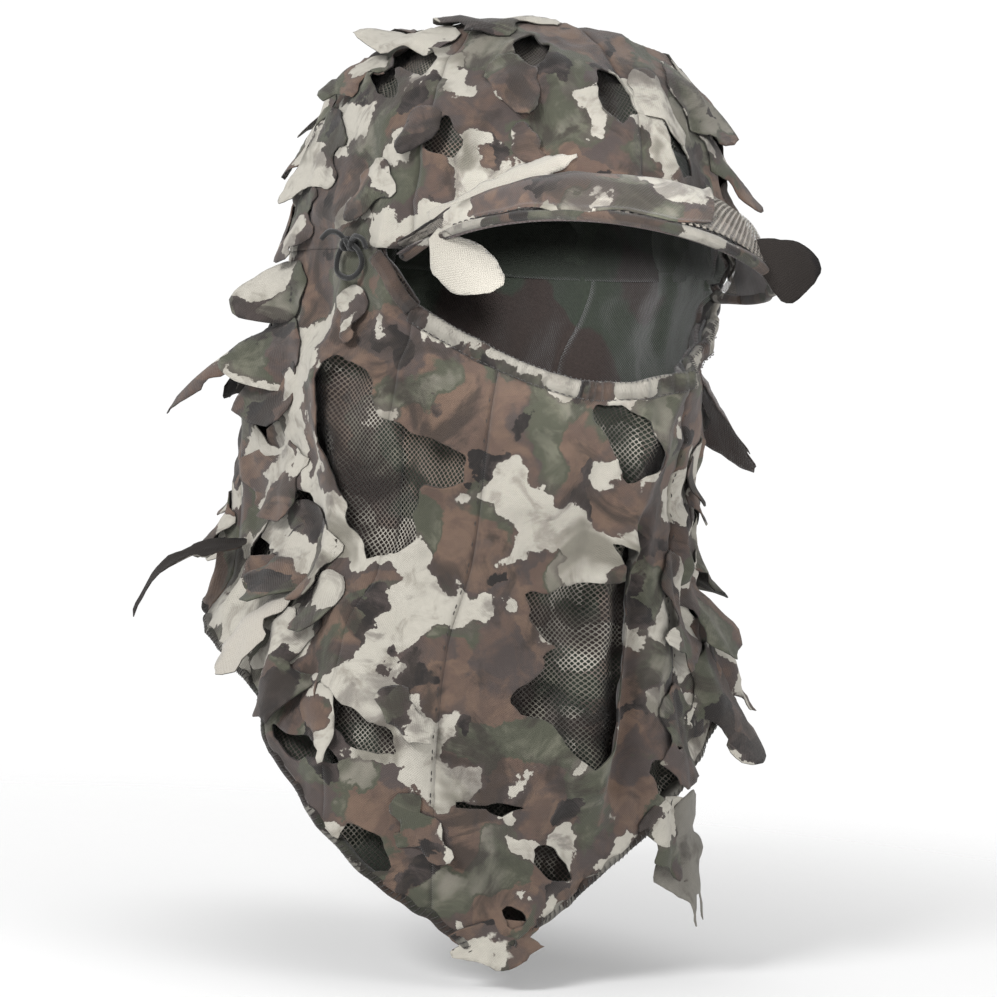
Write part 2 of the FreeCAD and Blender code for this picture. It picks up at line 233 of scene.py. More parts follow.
def hood_base(angle, up):
    angle, up = np.broadcast_arrays(np.asarray(angle, float), np.asarray(up, float))
    turn = np.radians(angle)
    power = 2.0 / CROWN_FULLNESS
    rise = np.radians(np.interp(np.clip(up, 0.0, CROWN_ARC), ARC_LENGTH, ARC_RISE))
    spread = np.clip(np.cos(rise), 0.0, 1.0) ** power
    on_crown = up > 0.0
    side = np.where(on_crown, CROWN_HALF_WIDTH * spread, smooth_table(SECTIONS, 1, up))
    front = np.where(on_crown, CROWN_HALF_LENGTH * spread, smooth_table(SECTIONS, 2, up))
    back = np.where(on_crown, CROWN_HALF_LENGTH * spread, smooth_table(SECTIONS, 3, up))
    reach = np.where(np.cos(turn) > 0.0, front, back)
    height = np.where(on_crown, CROWN_TOP * np.sin(rise) ** power, up)
    return np.stack([side * np.sin(turn), -reach * np.cos(turn), height], -1)


def hood_normal(angle, up):
    up = np.minimum(up, CROWN_ARC - 0.004)
    turn, rise = 0.5, 0.001
    across = hood_base(angle + turn, up) - hood_base(angle - turn, up)
    along = hood_base(angle, up + rise) - hood_base(angle, up - rise)
    return unit(np.cross(across, along))


def hem_height(angle):
    away = np.abs((np.asarray(angle, float) - HEM_TIP_ANGLE + 180.0) % 360.0 - 180.0)
    return -smooth_table(HEM_DROPS, 1, away)


def eye_hem_height(angle):
    part = np.minimum(np.abs(angle - EYE_HEM_LOW_ANGLE) / TEMPLE_ANGLE, 1.0)
    return EYE_HEM_LOW + (EYE_HEM_HIGH - EYE_HEM_LOW) * part ** 1.6


def side_top(angle):
    """Top edge of the drape: the sweatband, or the eye opening in front of the temple."""
    part = np.clip((np.abs(angle) - FACE_EDGE_ANGLE) / (TEMPLE_ANGLE - FACE_EDGE_ANGLE), 0.0, 1.0)
    corner = eye_hem_height(np.copysign(FACE_EDGE_ANGLE, angle))
    return corner + (0.0 - corner) * part


def bump_line(angle, up, start, end, width):
    """1 on the straight line between two places of the unrolled hood, falling to 0."""
    u, (u0, v0), (u1, v1) = unroll(angle), start, end
    u0, u1 = unroll(u0), unroll(u1)
    length2 = (u1 - u0) ** 2 + (v1 - v0) ** 2
    part = np.clip(((u - u0) * (u1 - u0) + (up - v0) * (v1 - v0)) / length2, 0.0, 1.0)
    gap = np.hypot(u - u0 - part * (u1 - u0), up - v0 - part * (v1 - v0))
    return bell(gap, width)


# Long soft folds: start and end as angle and height, width, height of the fold.
FOLDS = (
    ((25.0, -0.045), (8.0, -0.130), 0.007, 0.0050),
    ((8.0, -0.130), (4.0, -0.250), 0.008, 0.0055),
    ((-52.0, -0.150), (-20.0, -0.172), 0.010, 0.0035),
    ((-62.0, -0.170), (-28.0, -0.262), 0.012, 0.0045),
    ((-84.0, -0.050), (-74.0, -0.150), 0.010, 0.0045),
    ((-40.0, -0.205), (-4.0, -0.225), 0.009, 0.0035),
    ((16.0, -0.118), (12.0, -0.240), 0.006, -0.0065),
    ((34.0, -0.080), (46.0, -0.200), 0.009, 0.0045),
    ((70.0, -0.060), (62.0, -0.190), 0.012, 0.0050),
    ((104.0, -0.030), (112.0, -0.160), 0.013, 0.0050),
    ((-112.0, -0.030), (-124.0, -0.165), 0.013, 0.0055),
    ((150.0, -0.020), (144.0, -0.165), 0.014, 0.0055),
    ((-150.0, -0.030), (-158.0, -0.165), 0.014, 0.0055),
)


def relief(angle, up):
    """How far the folds and wrinkles of the cloth stand off its smooth form."""
    points = hood_base(angle, up)
    hang = np.clip(-up / 0.14, 0.0, 1.0)
    total = 0.0042 * noise(points, 0.055, 1)
    total = total + 0.0048 * hang * noise(points * np.array([1.0, 1.0, 0.35]), 0.026, 2)
    total = total + 0.0040 * (0.35 - np.abs(noise(points, 0.032, 5)))
    total = total + 0.0020 * (0.35 - np.abs(noise(points, 0.014, 7)))
    total = total + 0.0013 * noise(points, 0.018, 3) - 0.0007 * np.abs(noise(points, 0.010, 4))
    for start, end, width, height in FOLDS:
        total = total + height * bump_line(angle, up, start, end, width)
    for seam in (-CHEEK_SEAM_ANGLE, CHEEK_SEAM_ANGLE):
        total = total - 0.0018 * bell(unroll(angle - seam), 0.0028) * (up < -0.03)
    for number in range(-3, 4):
        total = total - 0.0012 * bell(unroll(angle - number * GORE_SPAN), 0.0030) * (up > 0.002)
    pinch = np.clip(1.0 - (CROWN_ARC - up) / CROWN_PINCH, 0.0, 1.0)
    return total * (1.0 - pinch)


def on_hood(angle, up, out):
    return hood_base(angle, up) + hood_normal(angle, up) * (out + relief(angle, up))[..., None]


# ---------- cut cloth

def cut_sheet(keep, columns, rows):
    """The part of a grid where keep is positive, with its outline cut through the cells."""
    grid_a, grid_b = np.meshgrid(columns, rows, indexing="ij")
    inside = keep(grid_a, grid_b)
    nearest = 0.05
    index, places, faces = {}, [], []

    def vertex(key, a, b):
        if key not in index:
            index[key] = len(places)
            places.append((a, b))
        return index[key]

    def cut(first, second):
        low, high = sorted((first, second))
        share = inside[low] / (inside[low] - inside[high])
        share = min(max(share, nearest), 1.0 - nearest)
        a = grid_a[low] + share * (grid_a[high] - grid_a[low])
        b = grid_b[low] + share * (grid_b[high] - grid_b[low])
        return vertex((low, high), a, b)

    for i in range(len(columns) - 1):
        for j in range(len(rows) - 1):
            ring = ((i, j), (i + 1, j), (i + 1, j + 1), (i, j + 1))
            kept = [inside[corner] > 0.0 for corner in ring]
            if not any(kept):
                continue
            face = []
            for here in range(4):
                after = (here + 1) % 4
                if kept[here]:
                    face.append(vertex(ring[here], *(g[ring[here]] for g in (grid_a, grid_b))))
                if kept[here] != kept[after]:
                    face.append(cut(ring[here], ring[after]))
            faces.append(face)
    return np.array(places).reshape(-1, 2), faces


def outline_gap(u, v, outline):
    """Signed distance to a closed outline: positive outside it."""
    gap = np.full(np.shape(u), 1e9)
    odd = np.zeros(np.shape(u), bool)
    for (u0, v0), (u1, v1) in zip(outline, outline[1:] + outline[:1]):
        along_u, along_v = u1 - u0, v1 - v0
        part = ((u - u0) * along_u + (v - v0) * along_v) / (along_u ** 2 + along_v ** 2)
        part = np.clip(part, 0.0, 1.0)
        gap = np.minimum(gap, np.hypot(u - u0 - part * along_u, v - v0 - part * along_v))
        crosses = (v0 > v) != (v1 > v)
        odd ^= crosses & (u < (v - v0) * along_u / (along_v if along_v else 1e-9) + u0)
    return np.where(odd, -gap, gap)


def leaf_window(angle, up, length, width, lean, seed):
    """Outline of a leaf-shaped window, as angles in degrees and heights in metres."""
    phase = random.Random(seed).uniform(0.0, math.tau)
    swing = math.radians(lean)
    count = 16
    points = []
    for step in range(count):
        turn = math.tau * step / count
        lobe = 1.0 + 0.22 * math.sin(3.0 * turn + phase) + 0.10 * math.sin(5.0 * turn + 2.0 * phase)
        along = 0.5 * length * math.cos(turn) * lobe
        across = 0.5 * width * math.sin(turn) * lobe
        du = across * math.cos(swing) + along * math.sin(swing)
        dv = across * math.sin(swing) - along * math.cos(swing)
        points.append((angle + math.degrees(du / MEAN_RADIUS), up + dv))
    return points


# Windows cut in the leafy cloth: outlines as angle in degrees and height in millimetres.
HAND_WINDOWS = (
    ((-82, -60), (-76, -51), (-65, -56), (-60, -76), (-48, -84), (-37, -93), (-36, -103),
     (-48, -109), (-51, -120), (-48, -134), (-62, -143), (-70, -122), (-79, -90)),
    ((-4, -65), (5, -63), (13, -70), (17, -90), (9, -99), (3, -84), (-3, -73)),
    ((4, -125), (12, -131), (9, -146), (-5, -149), (-16, -153), (-14, -166), (-6, -176),
     (-11, -190), (-17, -203), (-7, -213), (2, -232), (7, -222), (8, -200), (12, -170), (11, -148)),
    ((-76, -221), (-66, -224), (-57, -229), (-55, -235), (-66, -236), (-74, -229)),
    ((-63, -199), (-55, -206), (-41, -221), (-40, -230), (-51, -227), (-60, -214)),
    ((-51, -261), (-44, -266), (-42, -282), (-49, -284), (-55, -272)),
    ((-31, -249), (-17, -254), (-3, -249), (3, -241), (-2, -246), (-17, -250)),
    ((-9, -267), (-2, -271), (4, -284), (-3, -286), (-9, -278)),
    ((-15, -298), (-9, -300), (-7, -307), (-13, -307)),
    ((20, -226), (31, -232), (38, -248), (33, -256), (23, -243)),
    ((-88, 86), (-80, 91), (-72, 80), (-70, 70), (-80, 73)),
    ((-86, 101), (-74, 107), (-63, 93), (-67, 84), (-80, 91)),
    ((-10, 95), (-3, 92), (-1, 72), (-6, 61), (-12, 70), (-13, 84)),
    ((-61, 60), (-54, 63), (-48, 50), (-51, 42), (-59, 47)),
    ((8, 68), (14, 63), (19, 46), (14, 43), (8, 54)),
)
# Leaf-shaped windows at the sides and behind: angle, height, length, width and lean.
LEAF_WINDOWS = (
    (-106.0, -0.070, 0.052, 0.024, 20.0), (-100.0, -0.128, 0.046, 0.022, -30.0),
    (-140.0, -0.060, 0.060, 0.028, -25.0), (-160.0, -0.112, 0.056, 0.026, 30.0),
    (-132.0, -0.132, 0.044, 0.022, 10.0), (172.0, -0.058, 0.056, 0.026, 15.0),
    (150.0, -0.084, 0.062, 0.028, -20.0), (166.0, -0.136, 0.040, 0.022, 60.0),
    (132.0, -0.134, 0.044, 0.024, 25.0), (122.0, -0.056, 0.050, 0.024, 10.0),
    (100.0, -0.092, 0.060, 0.026, -15.0), (84.0, -0.146, 0.050, 0.024, 20.0),
    (72.0, -0.070, 0.048, 0.022, 15.0), (60.0, -0.190, 0.042, 0.022, -25.0),
    (44.0, -0.136, 0.050, 0.022, 12.0), (62.0, -0.122, 0.036, 0.018, -40.0),
    (-176.0, 0.050, 0.050, 0.024, 15.0), (142.0, 0.072, 0.046, 0.022, -20.0),
    (104.0, 0.056, 0.050, 0.024, 25.0), (66.0, 0.078, 0.044, 0.020, -25.0),
    (40.0, 0.052, 0.040, 0.020, 20.0), (-112.0, 0.048, 0.040, 0.020, -15.0),
    (-140.0, 0.082, 0.046, 0.022, 25.0), (-34.0, 0.098, 0.034, 0.018, -30.0),
)


def windows():
    """Every window's outline on the unrolled hood, in metres."""
    outlines = [[(angle, up / 1000.0) for angle, up in outline] for outline in HAND_WINDOWS]
    outlines += [leaf_window(*row, seed=50 + n) for n, row in enumerate(LEAF_WINDOWS)]
    return [[(unroll(angle), up) for angle, up in outline] for outline in outlines]


WINDOWS = windows()


def window_gap(angle, up):
    """Distance to the nearest window's ragged edge, negative inside it."""
    points = hood_base(angle, up)
    ragged = 0.0022 * noise(points, 0.009, 11) + 0.0010 * noise(points, 0.0042, 12)
    u = unroll(angle)
    far_away, margin = 1.0, 0.03
    nearest = np.full(np.shape(u), far_away)
    for outline in WINDOWS:
        low, high = np.min(outline, axis=0) - margin, np.max(outline, axis=0) + margin
        close = (u > low[0]) & (u < high[0]) & (up > low[1]) & (up < high[1])
        if close.any():
            nearest[close] = np.minimum(nearest[close], outline_gap(u[close], up[close], outline))
    return nearest + ragged


def lining_out(angle, up):
    """Depth of the mesh: clear of the leafy cloth behind windows, caught at both edges."""
    points = hood_base(angle, up)
    inside = 1.0 / (1.0 + np.exp((window_gap(angle, up) - 0.001) / 0.0022))
    inside = inside * np.clip((up - hem_height(angle) - 0.003) / 0.014, 0.0, 1.0)
    depth = -0.0034 - 0.0014 * (1.0 + noise(points, 0.030, 6)) - 0.0060 * inside
    caught = np.clip(1.6 * bell(up, 0.009), 0.0, 1.0)
    return depth * (1.0 - caught) - 0.0020 * caught


def shell_out(angle, up):
    """Height of the leafy cloth over the hood's form: its cut edges curl outwards."""
    points = hood_base(angle, up)
    curl = 0.0042 * (0.60 + 0.55 * noise(points, 0.020, 21))
    return curl * bell(window_gap(angle, up), 0.0055)


# ---------- making pieces

class Pattern:
    """Points, faces, print places and thread places of one cut of cloth."""

    def __init__(self, points, faces, prints, threads):
        self.points, self.faces, self.prints, self.threads = points, faces, prints, threads

    def area(self):
        total = 0.0
        for face in self.faces:
            ring = self.points[face]
            fan = np.cross(ring[1:-1] - ring[0], ring[2:] - ring[0])
            total += 0.5 * float(np.linalg.norm(fan, axis=1).sum())
        return total


def grid_pattern(points, threads, outward=True):
    """Cloth over a whole grid of points, facing up or outwards, or the other way."""
    columns, rows = points.shape[:2]
    faces = []
    for near in (i * rows + j for i in range(columns - 1) for j in range(rows - 1)):
        far = near + rows
        faces.append([near, near + 1, far + 1, far] if outward else [near, far, far + 1, near + 1])
    flat = points.reshape(-1, 3)
    return Pattern(flat, faces, flat, threads.reshape(-1, 2))


def link_object(name, data):
    item = bpy.data.objects.new(name, data)
    bpy.context.scene.collection.objects.link(item)
    return item


def make_mesh(name, patterns, materials, thickness):
    """One object from several cuts of cloth, given its thickness inwards."""
    faces, start = [], 0
    for pattern in patterns:
        faces += [[corner + start for corner in face] for face in pattern.faces]
        start += len(pattern.points)
    points, prints, threads = (
        np.concatenate([getattr(pattern, part) for pattern in patterns])
        for part in ("points", "prints", "threads")
    )
    mesh = bpy.data.meshes.new(name)
    mesh.from_pydata(points.tolist(), [], faces)
    stored = mesh.attributes.new("print", "FLOAT_VECTOR", "POINT")
    stored.data.foreach_set("vector", prints.astype(np.float32).ravel())
    corners = np.zeros(len(mesh.loops), np.int32)
    mesh.loops.foreach_get("vertex_index", corners)
    layer = mesh.uv_layers.new(name="threads")
    layer.data.foreach_set("uv", threads[corners].astype(np.float32).ravel())
    mesh.shade_smooth()
    piece = link_object(name, mesh)
    for material in materials:
        mesh.materials.append(MATERIALS[material])
    if thickness:
        modifier = piece.modifiers.new("thickness", "SOLIDIFY")
        modifier.thickness = thickness
        modifier.offset = -1.0
        if len(materials) > 1:
            modifier.material_offset = 1
            modifier.material_offset_rim = 1
    return piece


def declare(piece, patterns, held, rests_on):
    """Works out how large the piece's cloth was cut, from its thread places, and keeps the result nowhere.
    """
    area = sum(pattern.area() for pattern in patterns)
    spans = [pattern.threads.max(axis=0) - pattern.threads.min(axis=0) for pattern in patterns]
    width = max(float(span[0]) for span in spans)
    length = sum(float(span[1]) for span in spans)
    if area > width * length:
        length = area / width * SHEET_SPARE


def add_piece(name, patterns, look, body, node=None, across=None, sheet=None):
    """Makes a piece, hangs it on its body, hides the CAD part that it replaces and works out its sheet's
    size.

    The look is the names of its materials and its thickness. It rides on its body; a piece given a blend
    across two bodies is hung on neither, with its place baked into its mesh, and the blend itself is not
    applied.
    """
    *materials, thickness = look
    piece = make_mesh(name, patterns, materials, thickness)
    if across:
        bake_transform(piece)
    else:
        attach(piece, body)
    if node:
        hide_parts(node)
    if sheet:
        declare(piece, patterns, *sheet)


def hood_pattern(angles, ups, keep, out, grid=GRID):
    """Cloth over part of the hood, as far out as out says, cut where keep is positive."""
    columns = steps(*angles, math.degrees(grid / MEAN_RADIUS))
    rows = steps(*ups, grid)
    places, faces = cut_sheet(keep, columns, rows)
    angle, up = places[:, 0], places[:, 1]
    points = on_hood(angle, up, out(angle, up))
    threads = np.stack([unroll(angle), up], -1)
    return Pattern(points, faces, hood_base(angle, up), threads)


# ---------- materials

CREAM = (0.430, 0.407, 0.355)
ASH = (0.285, 0.263, 0.225)
STONE = (0.195, 0.182, 0.150)
BROWN = (0.142, 0.095, 0.070)
RUST = (0.106, 0.072, 0.057)
MAUVE = (0.068, 0.054, 0.050)
OLIVE = (0.068, 0.070, 0.050)
MOSS = (0.130, 0.128, 0.096)
SOOT = (0.020, 0.017, 0.016)
SMOKE = (0.036, 0.029, 0.025)
MESH_PITCH = 0.00256


class Nodes:
    """Short names for the shader nodes that the materials and the world share."""

    def __init__(self, tree):
        self.tree = tree

    def add(self, kind, **settings):
        node = self.tree.nodes.new(kind)
        for key, value in settings.items():
            setattr(node, key, value)
        return node

    def feed(self, socket, value):
        """Fills an input with a plain value or with another node's output."""
        if isinstance(value, bpy.types.NodeSocket):
            self.tree.links.new(value, socket)
        else:
            socket.default_value = value

    def put(self, node, **values):
        """Fills a node's inputs by name, with _ in place of each space."""
        for key, value in values.items():
            self.feed(node.inputs[key.replace("_", " ")], value)
        return node

    def print_place(self):
        return self.add("ShaderNodeAttribute", attribute_name="print").outputs["Vector"]

    def split(self, vector):
        return self.put(self.add("ShaderNodeSeparateXYZ"), Vector=vector).outputs

    def thread_place(self):
        return self.split(self.add("ShaderNodeUVMap", uv_map="threads").outputs[0])

    def noise(self, vector, scale, detail, rough=0.55, distortion=0.0):
        node = self.add("ShaderNodeTexNoise")
        self.put(node, Vector=vector, Scale=scale, Detail=detail, Roughness=rough,
                 Distortion=distortion)
        return node.outputs

    def math(self, operation, first, second=0.0):
        node = self.add("ShaderNodeMath", operation=operation)
        for socket, value in zip(node.inputs, (first, second)):
            self.feed(socket, value)
        return node.outputs[0]

    def vector_math(self, operation, first, second=(0.0, 0.0, 0.0), **values):
        node = self.put(self.add("ShaderNodeVectorMath", operation=operation), **values)
        for socket, value in zip(node.inputs, (first, second)):
            self.feed(socket, value)
        return node.outputs

    def slope(self, value, low, high, bottom=0.0, top=1.0, kind="SMOOTHSTEP"):
        """The bottom value below low, the top value above high, and a slope between them."""
        node = self.add("ShaderNodeMapRange", interpolation_type=kind)
        values = {"From Min": low, "From Max": high, "To Min": bottom, "To Max": top}
        return self.put(node, Value=value, **values).outputs["Result"]

    def mix(self, share, first, second, blend="MIX"):
        node = self.add("ShaderNodeMix", data_type="RGBA", blend_type=blend)
        self.put(node, Factor=share)
        colours = [socket for socket in node.inputs if socket.type == "RGBA"]
        for socket, value in zip(colours, (first, second)):
            self.feed(socket, (*value, 1.0) if isinstance(value, tuple) else value)
        return next(socket for socket in node.outputs if socket.type == "RGBA")

    def toned(self, colour, tone):
        """The colour, lighter or darker where the tone is over or under 1."""
        node = self.add("ShaderNodeCombineColor")
        for socket in node.inputs:
            self.feed(socket, tone)
        return self.mix(1.0, colour, node.outputs[0], "MULTIPLY")

    def moved(self, vector, by, amount, scale, detail):
        """The vector by shifted by noise, which makes straight borders ragged."""
        wobble = self.noise(vector, scale, detail)["Color"]
        centred = self.vector_math("SUBTRACT", wobble, (0.5, 0.5, 0.5))[0]
        scaled = self.vector_math("SCALE", centred, Scale=amount)[0]
        return self.vector_math("ADD", by, scaled)[0]


def material_of(name, colour_cloth):
    """A material whose surface is the shader that colour_cloth makes."""
    material = bpy.data.materials.new(name)
    material.use_nodes = True
    material.node_tree.nodes.clear()
    nodes = Nodes(material.node_tree)
    shader = colour_cloth(nodes)
    nodes.put(nodes.add("ShaderNodeOutputMaterial"), Surface=shader.outputs[0])
    return material


def camo_colour(nodes):
    """Printed camouflage: torn-edged blotches with watercolour stains inside them, and painted shade that
    makes the print smokier and less cream towards the crown's top.
    """
    place = nodes.print_place()
    warped = place
    for amount, scale, detail in ((0.026, 34.0, 2.0), (0.011, 120.0, 4.0), (0.003, 420.0, 3.0)):
        warped = nodes.moved(place, warped, amount, scale, detail)

    def field(shift, scale, detail=1.5):
        moved = nodes.vector_math("ADD", warped, (shift, shift * 0.7, -shift))[0]
        return nodes.noise(moved, scale, detail, 0.5)["Fac"]

    def stained(low, high, first, second):
        return nodes.mix(nodes.slope(stain, low, high), first, second)

    stain = nodes.noise(place, 62.0, 5.0, 0.62, 0.9)["Fac"]
    wash = nodes.noise(place, 26.0, 3.0, 0.55, 0.6)["Fac"]
    smoke_and_crown_shade = nodes.noise(place, 30.0, 5.0, 0.60, 1.2)["Fac"]
    # Painted shade: towards the crown's top the print grows smokier, standing in for the dimmer light that
    # falls there.
    crown_painted_shade = nodes.math("MULTIPLY", nodes.slope(nodes.split(place)["Z"], -0.010, 0.050), 0.035)
    smoke_and_crown_shade = nodes.math("ADD", smoke_and_crown_shade, crown_painted_shade)

    mauve = nodes.slope(field(0.7, 25.0), 0.500, 0.530)
    colour = nodes.mix(mauve, stained(0.40, 0.60, RUST, BROWN), stained(0.42, 0.68, MAUVE, RUST))
    olive = field(1.3, 28.0)
    leafy = nodes.mix(nodes.slope(wash, 0.50, 0.66), stained(0.44, 0.66, OLIVE, MOSS), STONE)
    colour = nodes.mix(nodes.slope(olive, 0.515, 0.540), colour, OLIVE)
    colour = nodes.mix(nodes.slope(olive, 0.545, 0.575), colour, leafy)
    soot = nodes.slope(field(2.9, 34.0), 0.600, 0.612)
    colour = nodes.mix(soot, colour, stained(0.46, 0.70, SOOT, MAUVE))
    smoky_and_crown_shade = nodes.math("MULTIPLY", nodes.slope(smoke_and_crown_shade, 0.49, 0.62), 0.78)
    colour = nodes.mix(smoky_and_crown_shade, colour, SMOKE)
    # Painted shade: the cream blotches shrink towards the crown's top.
    cream = nodes.math("SUBTRACT", field(4.7, 25.0, 1.8), nodes.math("MULTIPLY", crown_painted_shade, 0.6))
    rim = nodes.math("MULTIPLY", nodes.slope(cream, 0.488, 0.533), 0.60)
    colour = nodes.mix(rim, colour, MAUVE)
    washed = nodes.mix(nodes.slope(wash, 0.55, 0.68), stained(0.50, 0.68, CREAM, ASH), STONE)
    smudged_and_crown_shade = nodes.math("MULTIPLY", nodes.slope(smoke_and_crown_shade, 0.57, 0.68), 0.55)
    washed = nodes.mix(smudged_and_crown_shade, washed, MAUVE)
    colour = nodes.mix(nodes.slope(cream, 0.533, 0.540), colour, washed)
    speckle = nodes.noise(place, 340.0, 2.0, 0.6)["Fac"]
    return nodes.toned(colour, nodes.slope(speckle, 0.0, 1.0, 0.90, 1.10, "LINEAR"))


def waves(nodes, values, turns):
    """Product of two sine waves with the given turns, in radians, to a metre."""
    return nodes.math("MULTIPLY", *(
        nodes.math("SINE", nodes.math("MULTIPLY", value, turns)) for value in values
    ))


def finish_cloth(nodes, colour, roughness, pitch, depth, sheen=0.15):
    """Cloth shader with the threads of a plain weave and soft creases as its bump."""
    weave = waves(nodes, nodes.thread_place()[:2], math.tau / pitch)
    creases = nodes.noise(nodes.print_place(), 130.0, 4.0, 0.6)["Fac"]
    height = nodes.math("ADD", weave, nodes.math("MULTIPLY", creases, 5.0))
    bump = nodes.put(nodes.add("ShaderNodeBump"), Strength=0.5, Distance=depth, Height=height)
    shader = nodes.add("ShaderNodeBsdfPrincipled")
    return nodes.put(shader, Base_Color=colour, Roughness=roughness, Sheen_Weight=sheen,
                     Specular_IOR_Level=0.25, Normal=bump.outputs[0])


def camo_cloth(name, shade=None):
    def cloth(nodes):
        colour = camo_colour(nodes)
        if shade:
            colour = nodes.mix(1.0, colour, (shade, shade, shade), "MULTIPLY")
        return finish_cloth(nodes, colour, 0.82, 0.0011, 0.00025)
    return material_of(name, cloth)


def mesh_cloth(name, shade, lightness, dim):
    """Knitted mesh: strands between diamond holes, through which the near-black inner face shows as painted
    shade of the hood's hollow.
    """
    def cloth(nodes):
        colour = nodes.mix(lightness, camo_colour(nodes), (0.42, 0.38, 0.33))
        cloud = nodes.noise(nodes.print_place(), 24.0, 2.0, 0.5, 0.8)["Fac"]
        colour = nodes.toned(colour, nodes.slope(cloud, 0.42, 0.62, shade * dim, shade))
        across, along = nodes.thread_place()[:2]
        slanted = [nodes.math(operation, across, along) for operation in ("ADD", "SUBTRACT")]
        hole = nodes.math("ABSOLUTE", waves(nodes, slanted, math.pi / MESH_PITCH))
        strand = nodes.math("SUBTRACT", 1.0, nodes.slope(hole, 0.26, 0.36))
        return nodes.put(finish_cloth(nodes, colour, 0.75, 0.0012, 0.0003), Alpha=strand)
    return material_of(name, cloth)


def plain_cloth(name, colour, other, roughness=0.9, pitch=0.0014, fuzz=0.35, sheen=0.3):
    """Cloth dyed in two close colours, with light and dark fibres."""
    def cloth(nodes):
        place = nodes.print_place()
        warped = nodes.moved(place, place, 0.02, 40.0, 3.0)
        blotch = nodes.slope(nodes.noise(warped, 12.0, 1.5)["Fac"], 0.49, 0.52)
        fibre = nodes.noise(place, 700.0, 3.0, 0.7)["Fac"]
        tone = nodes.slope(fibre, 0.0, 1.0, 1.0 - fuzz, 1.0 + fuzz, "LINEAR")
        mixed = nodes.toned(nodes.mix(blotch, colour, other), tone)
        return finish_cloth(nodes, mixed, roughness, pitch, 0.0003, sheen)
    return material_of(name, cloth)


MATERIALS = {
    "camo": camo_cloth("leafy_camo"),
    "camo_back": camo_cloth("leafy_camo_reverse", 0.42),
    "eye_hem": camo_cloth("eye_hem_camo", 0.62),
    "hem": camo_cloth("hem_camo", 0.38),
    "mesh": mesh_cloth("camo_mesh", 1.00, 0.26, 0.22),
    "mesh_light": mesh_cloth("brim_mesh", 1.05, 0.70, 0.60),
    # Inner face of each mesh lining: dark brown and green cloth, kept near-black so that, seen through the
    # mesh's holes, it is painted shade of the hood's hollow.
    "inner": plain_cloth("inner_cloth_and_hollow_shade", (0.040, 0.030, 0.027), (0.036, 0.044, 0.033), fuzz=0.5),
    "under": plain_cloth("brim_under_cloth", (0.060, 0.045, 0.043), (0.045, 0.036, 0.034)),
    "band": plain_cloth("sweatband_cloth", (0.036, 0.030, 0.028), (0.030, 0.036, 0.028)),
    "cord": plain_cloth("elastic_cord", (0.010, 0.010, 0.010), (0.014, 0.014, 0.014), 0.6, 0.0009),
    "thread": plain_cloth("stitch_thread", (0.030, 0.025, 0.022), (0.040, 0.034, 0.030), 0.7),
    "board": plain_cloth("bill_board", (0.20, 0.19, 0.18), (0.16, 0.15, 0.14), 0.6),
    "cream": plain_cloth("cream_cloth", (0.385, 0.362, 0.315), (0.42, 0.39, 0.34), 0.8, fuzz=0.1),
    "dark": plain_cloth("dark_cloth", (0.012, 0.010, 0.010), (0.022, 0.018, 0.016), 0.85,
                        fuzz=0.1, sheen=0.0),
    "mauve": plain_cloth("mauve_cloth", (0.105, 0.082, 0.078), (0.070, 0.054, 0.050), 0.8, fuzz=0.1),
}


# ---------- hood shell and lining

SIDES = (("left", 1.0), ("right", -1.0))
SHELL = ("camo", "camo_back", CLOTH)
THREAD = ("thread", 0.0)
GATHERED = ("gathered", ["sweatband"])


def hood_keep(top, bottom, holes=True):
    """What a panel keeps between its top and bottom lines, outside the windows."""
    def keep(angle, up):
        inside = np.minimum(top(angle) - up, up - bottom(angle))
        return np.minimum(inside, window_gap(angle, up)) if holes else inside
    return keep


def above_all(angle):
    """A top line over the whole crown."""
    return np.full(np.shape(angle), 1.0)


def hem_top(angle):
    """Where cloth ends inside the turned hem."""
    return hem_height(angle) + TUCKED_IN


def face_top(angle):
    """Where the face cover's cloth ends inside the eye hem."""
    return eye_hem_height(angle) - TUCKED_IN


def shell_piece(name, node, angles, ups, top, bottom, body, across=None):
    pattern = hood_pattern(angles, ups, hood_keep(top, bottom), shell_out)
    add_piece(name, [pattern], SHELL, body, node, across, GATHERED)


def lining_piece(name, node, angles, ups, top, body, across):
    pattern = hood_pattern(angles, ups, hood_keep(top, hem_top, False), lining_out, LINING_GRID)
    look = ("mesh", "inner", DRAPE_LINING)
    add_piece(name, [pattern], look, body, node, across, GATHERED)


def crown_edge(angle):
    """Lower edge of the crown, which arches up behind the bill."""
    return CROWN_ARCH * np.maximum(1.0 - (angle / CROWN_ARCH_ANGLE) ** 2, 0.0) - 0.001


def crown_lining_out(angle, up):
    """The crown's mesh hangs less far inside the shell, and least at the very top."""
    return 0.6 * lining_out(angle, up) * (up < CROWN_ARC - CROWN_PINCH) - 0.0012


def build_crown():
    ups = (0.0, CROWN_ARC - 0.0005)
    for side, sign in SIDES:
        for number, place in enumerate(("front", "side", "back")):
            edges = sorted((sign * number * GORE_SPAN, sign * (number + 1) * GORE_SPAN))
            name = f"crown_{place}_{side}"
            shell_piece(f"{name}_cloth", name, edges, ups, above_all, crown_edge, "hood")
    keep = hood_keep(above_all, crown_edge, False)
    pattern = hood_pattern((-180.0, 180.0), ups, keep, crown_lining_out, LINING_GRID)
    add_piece("crown_mesh", [pattern], ("mesh", "inner", CROWN_LINING), "hood",
              "crown_lining", sheet=GATHERED)


def lining_top(angle):
    """The drape's mesh is caught under the sweatband; at the opening it follows the edge."""
    return side_top(angle) + LINING_CAUGHT * (np.abs(angle) >= TEMPLE_ANGLE)


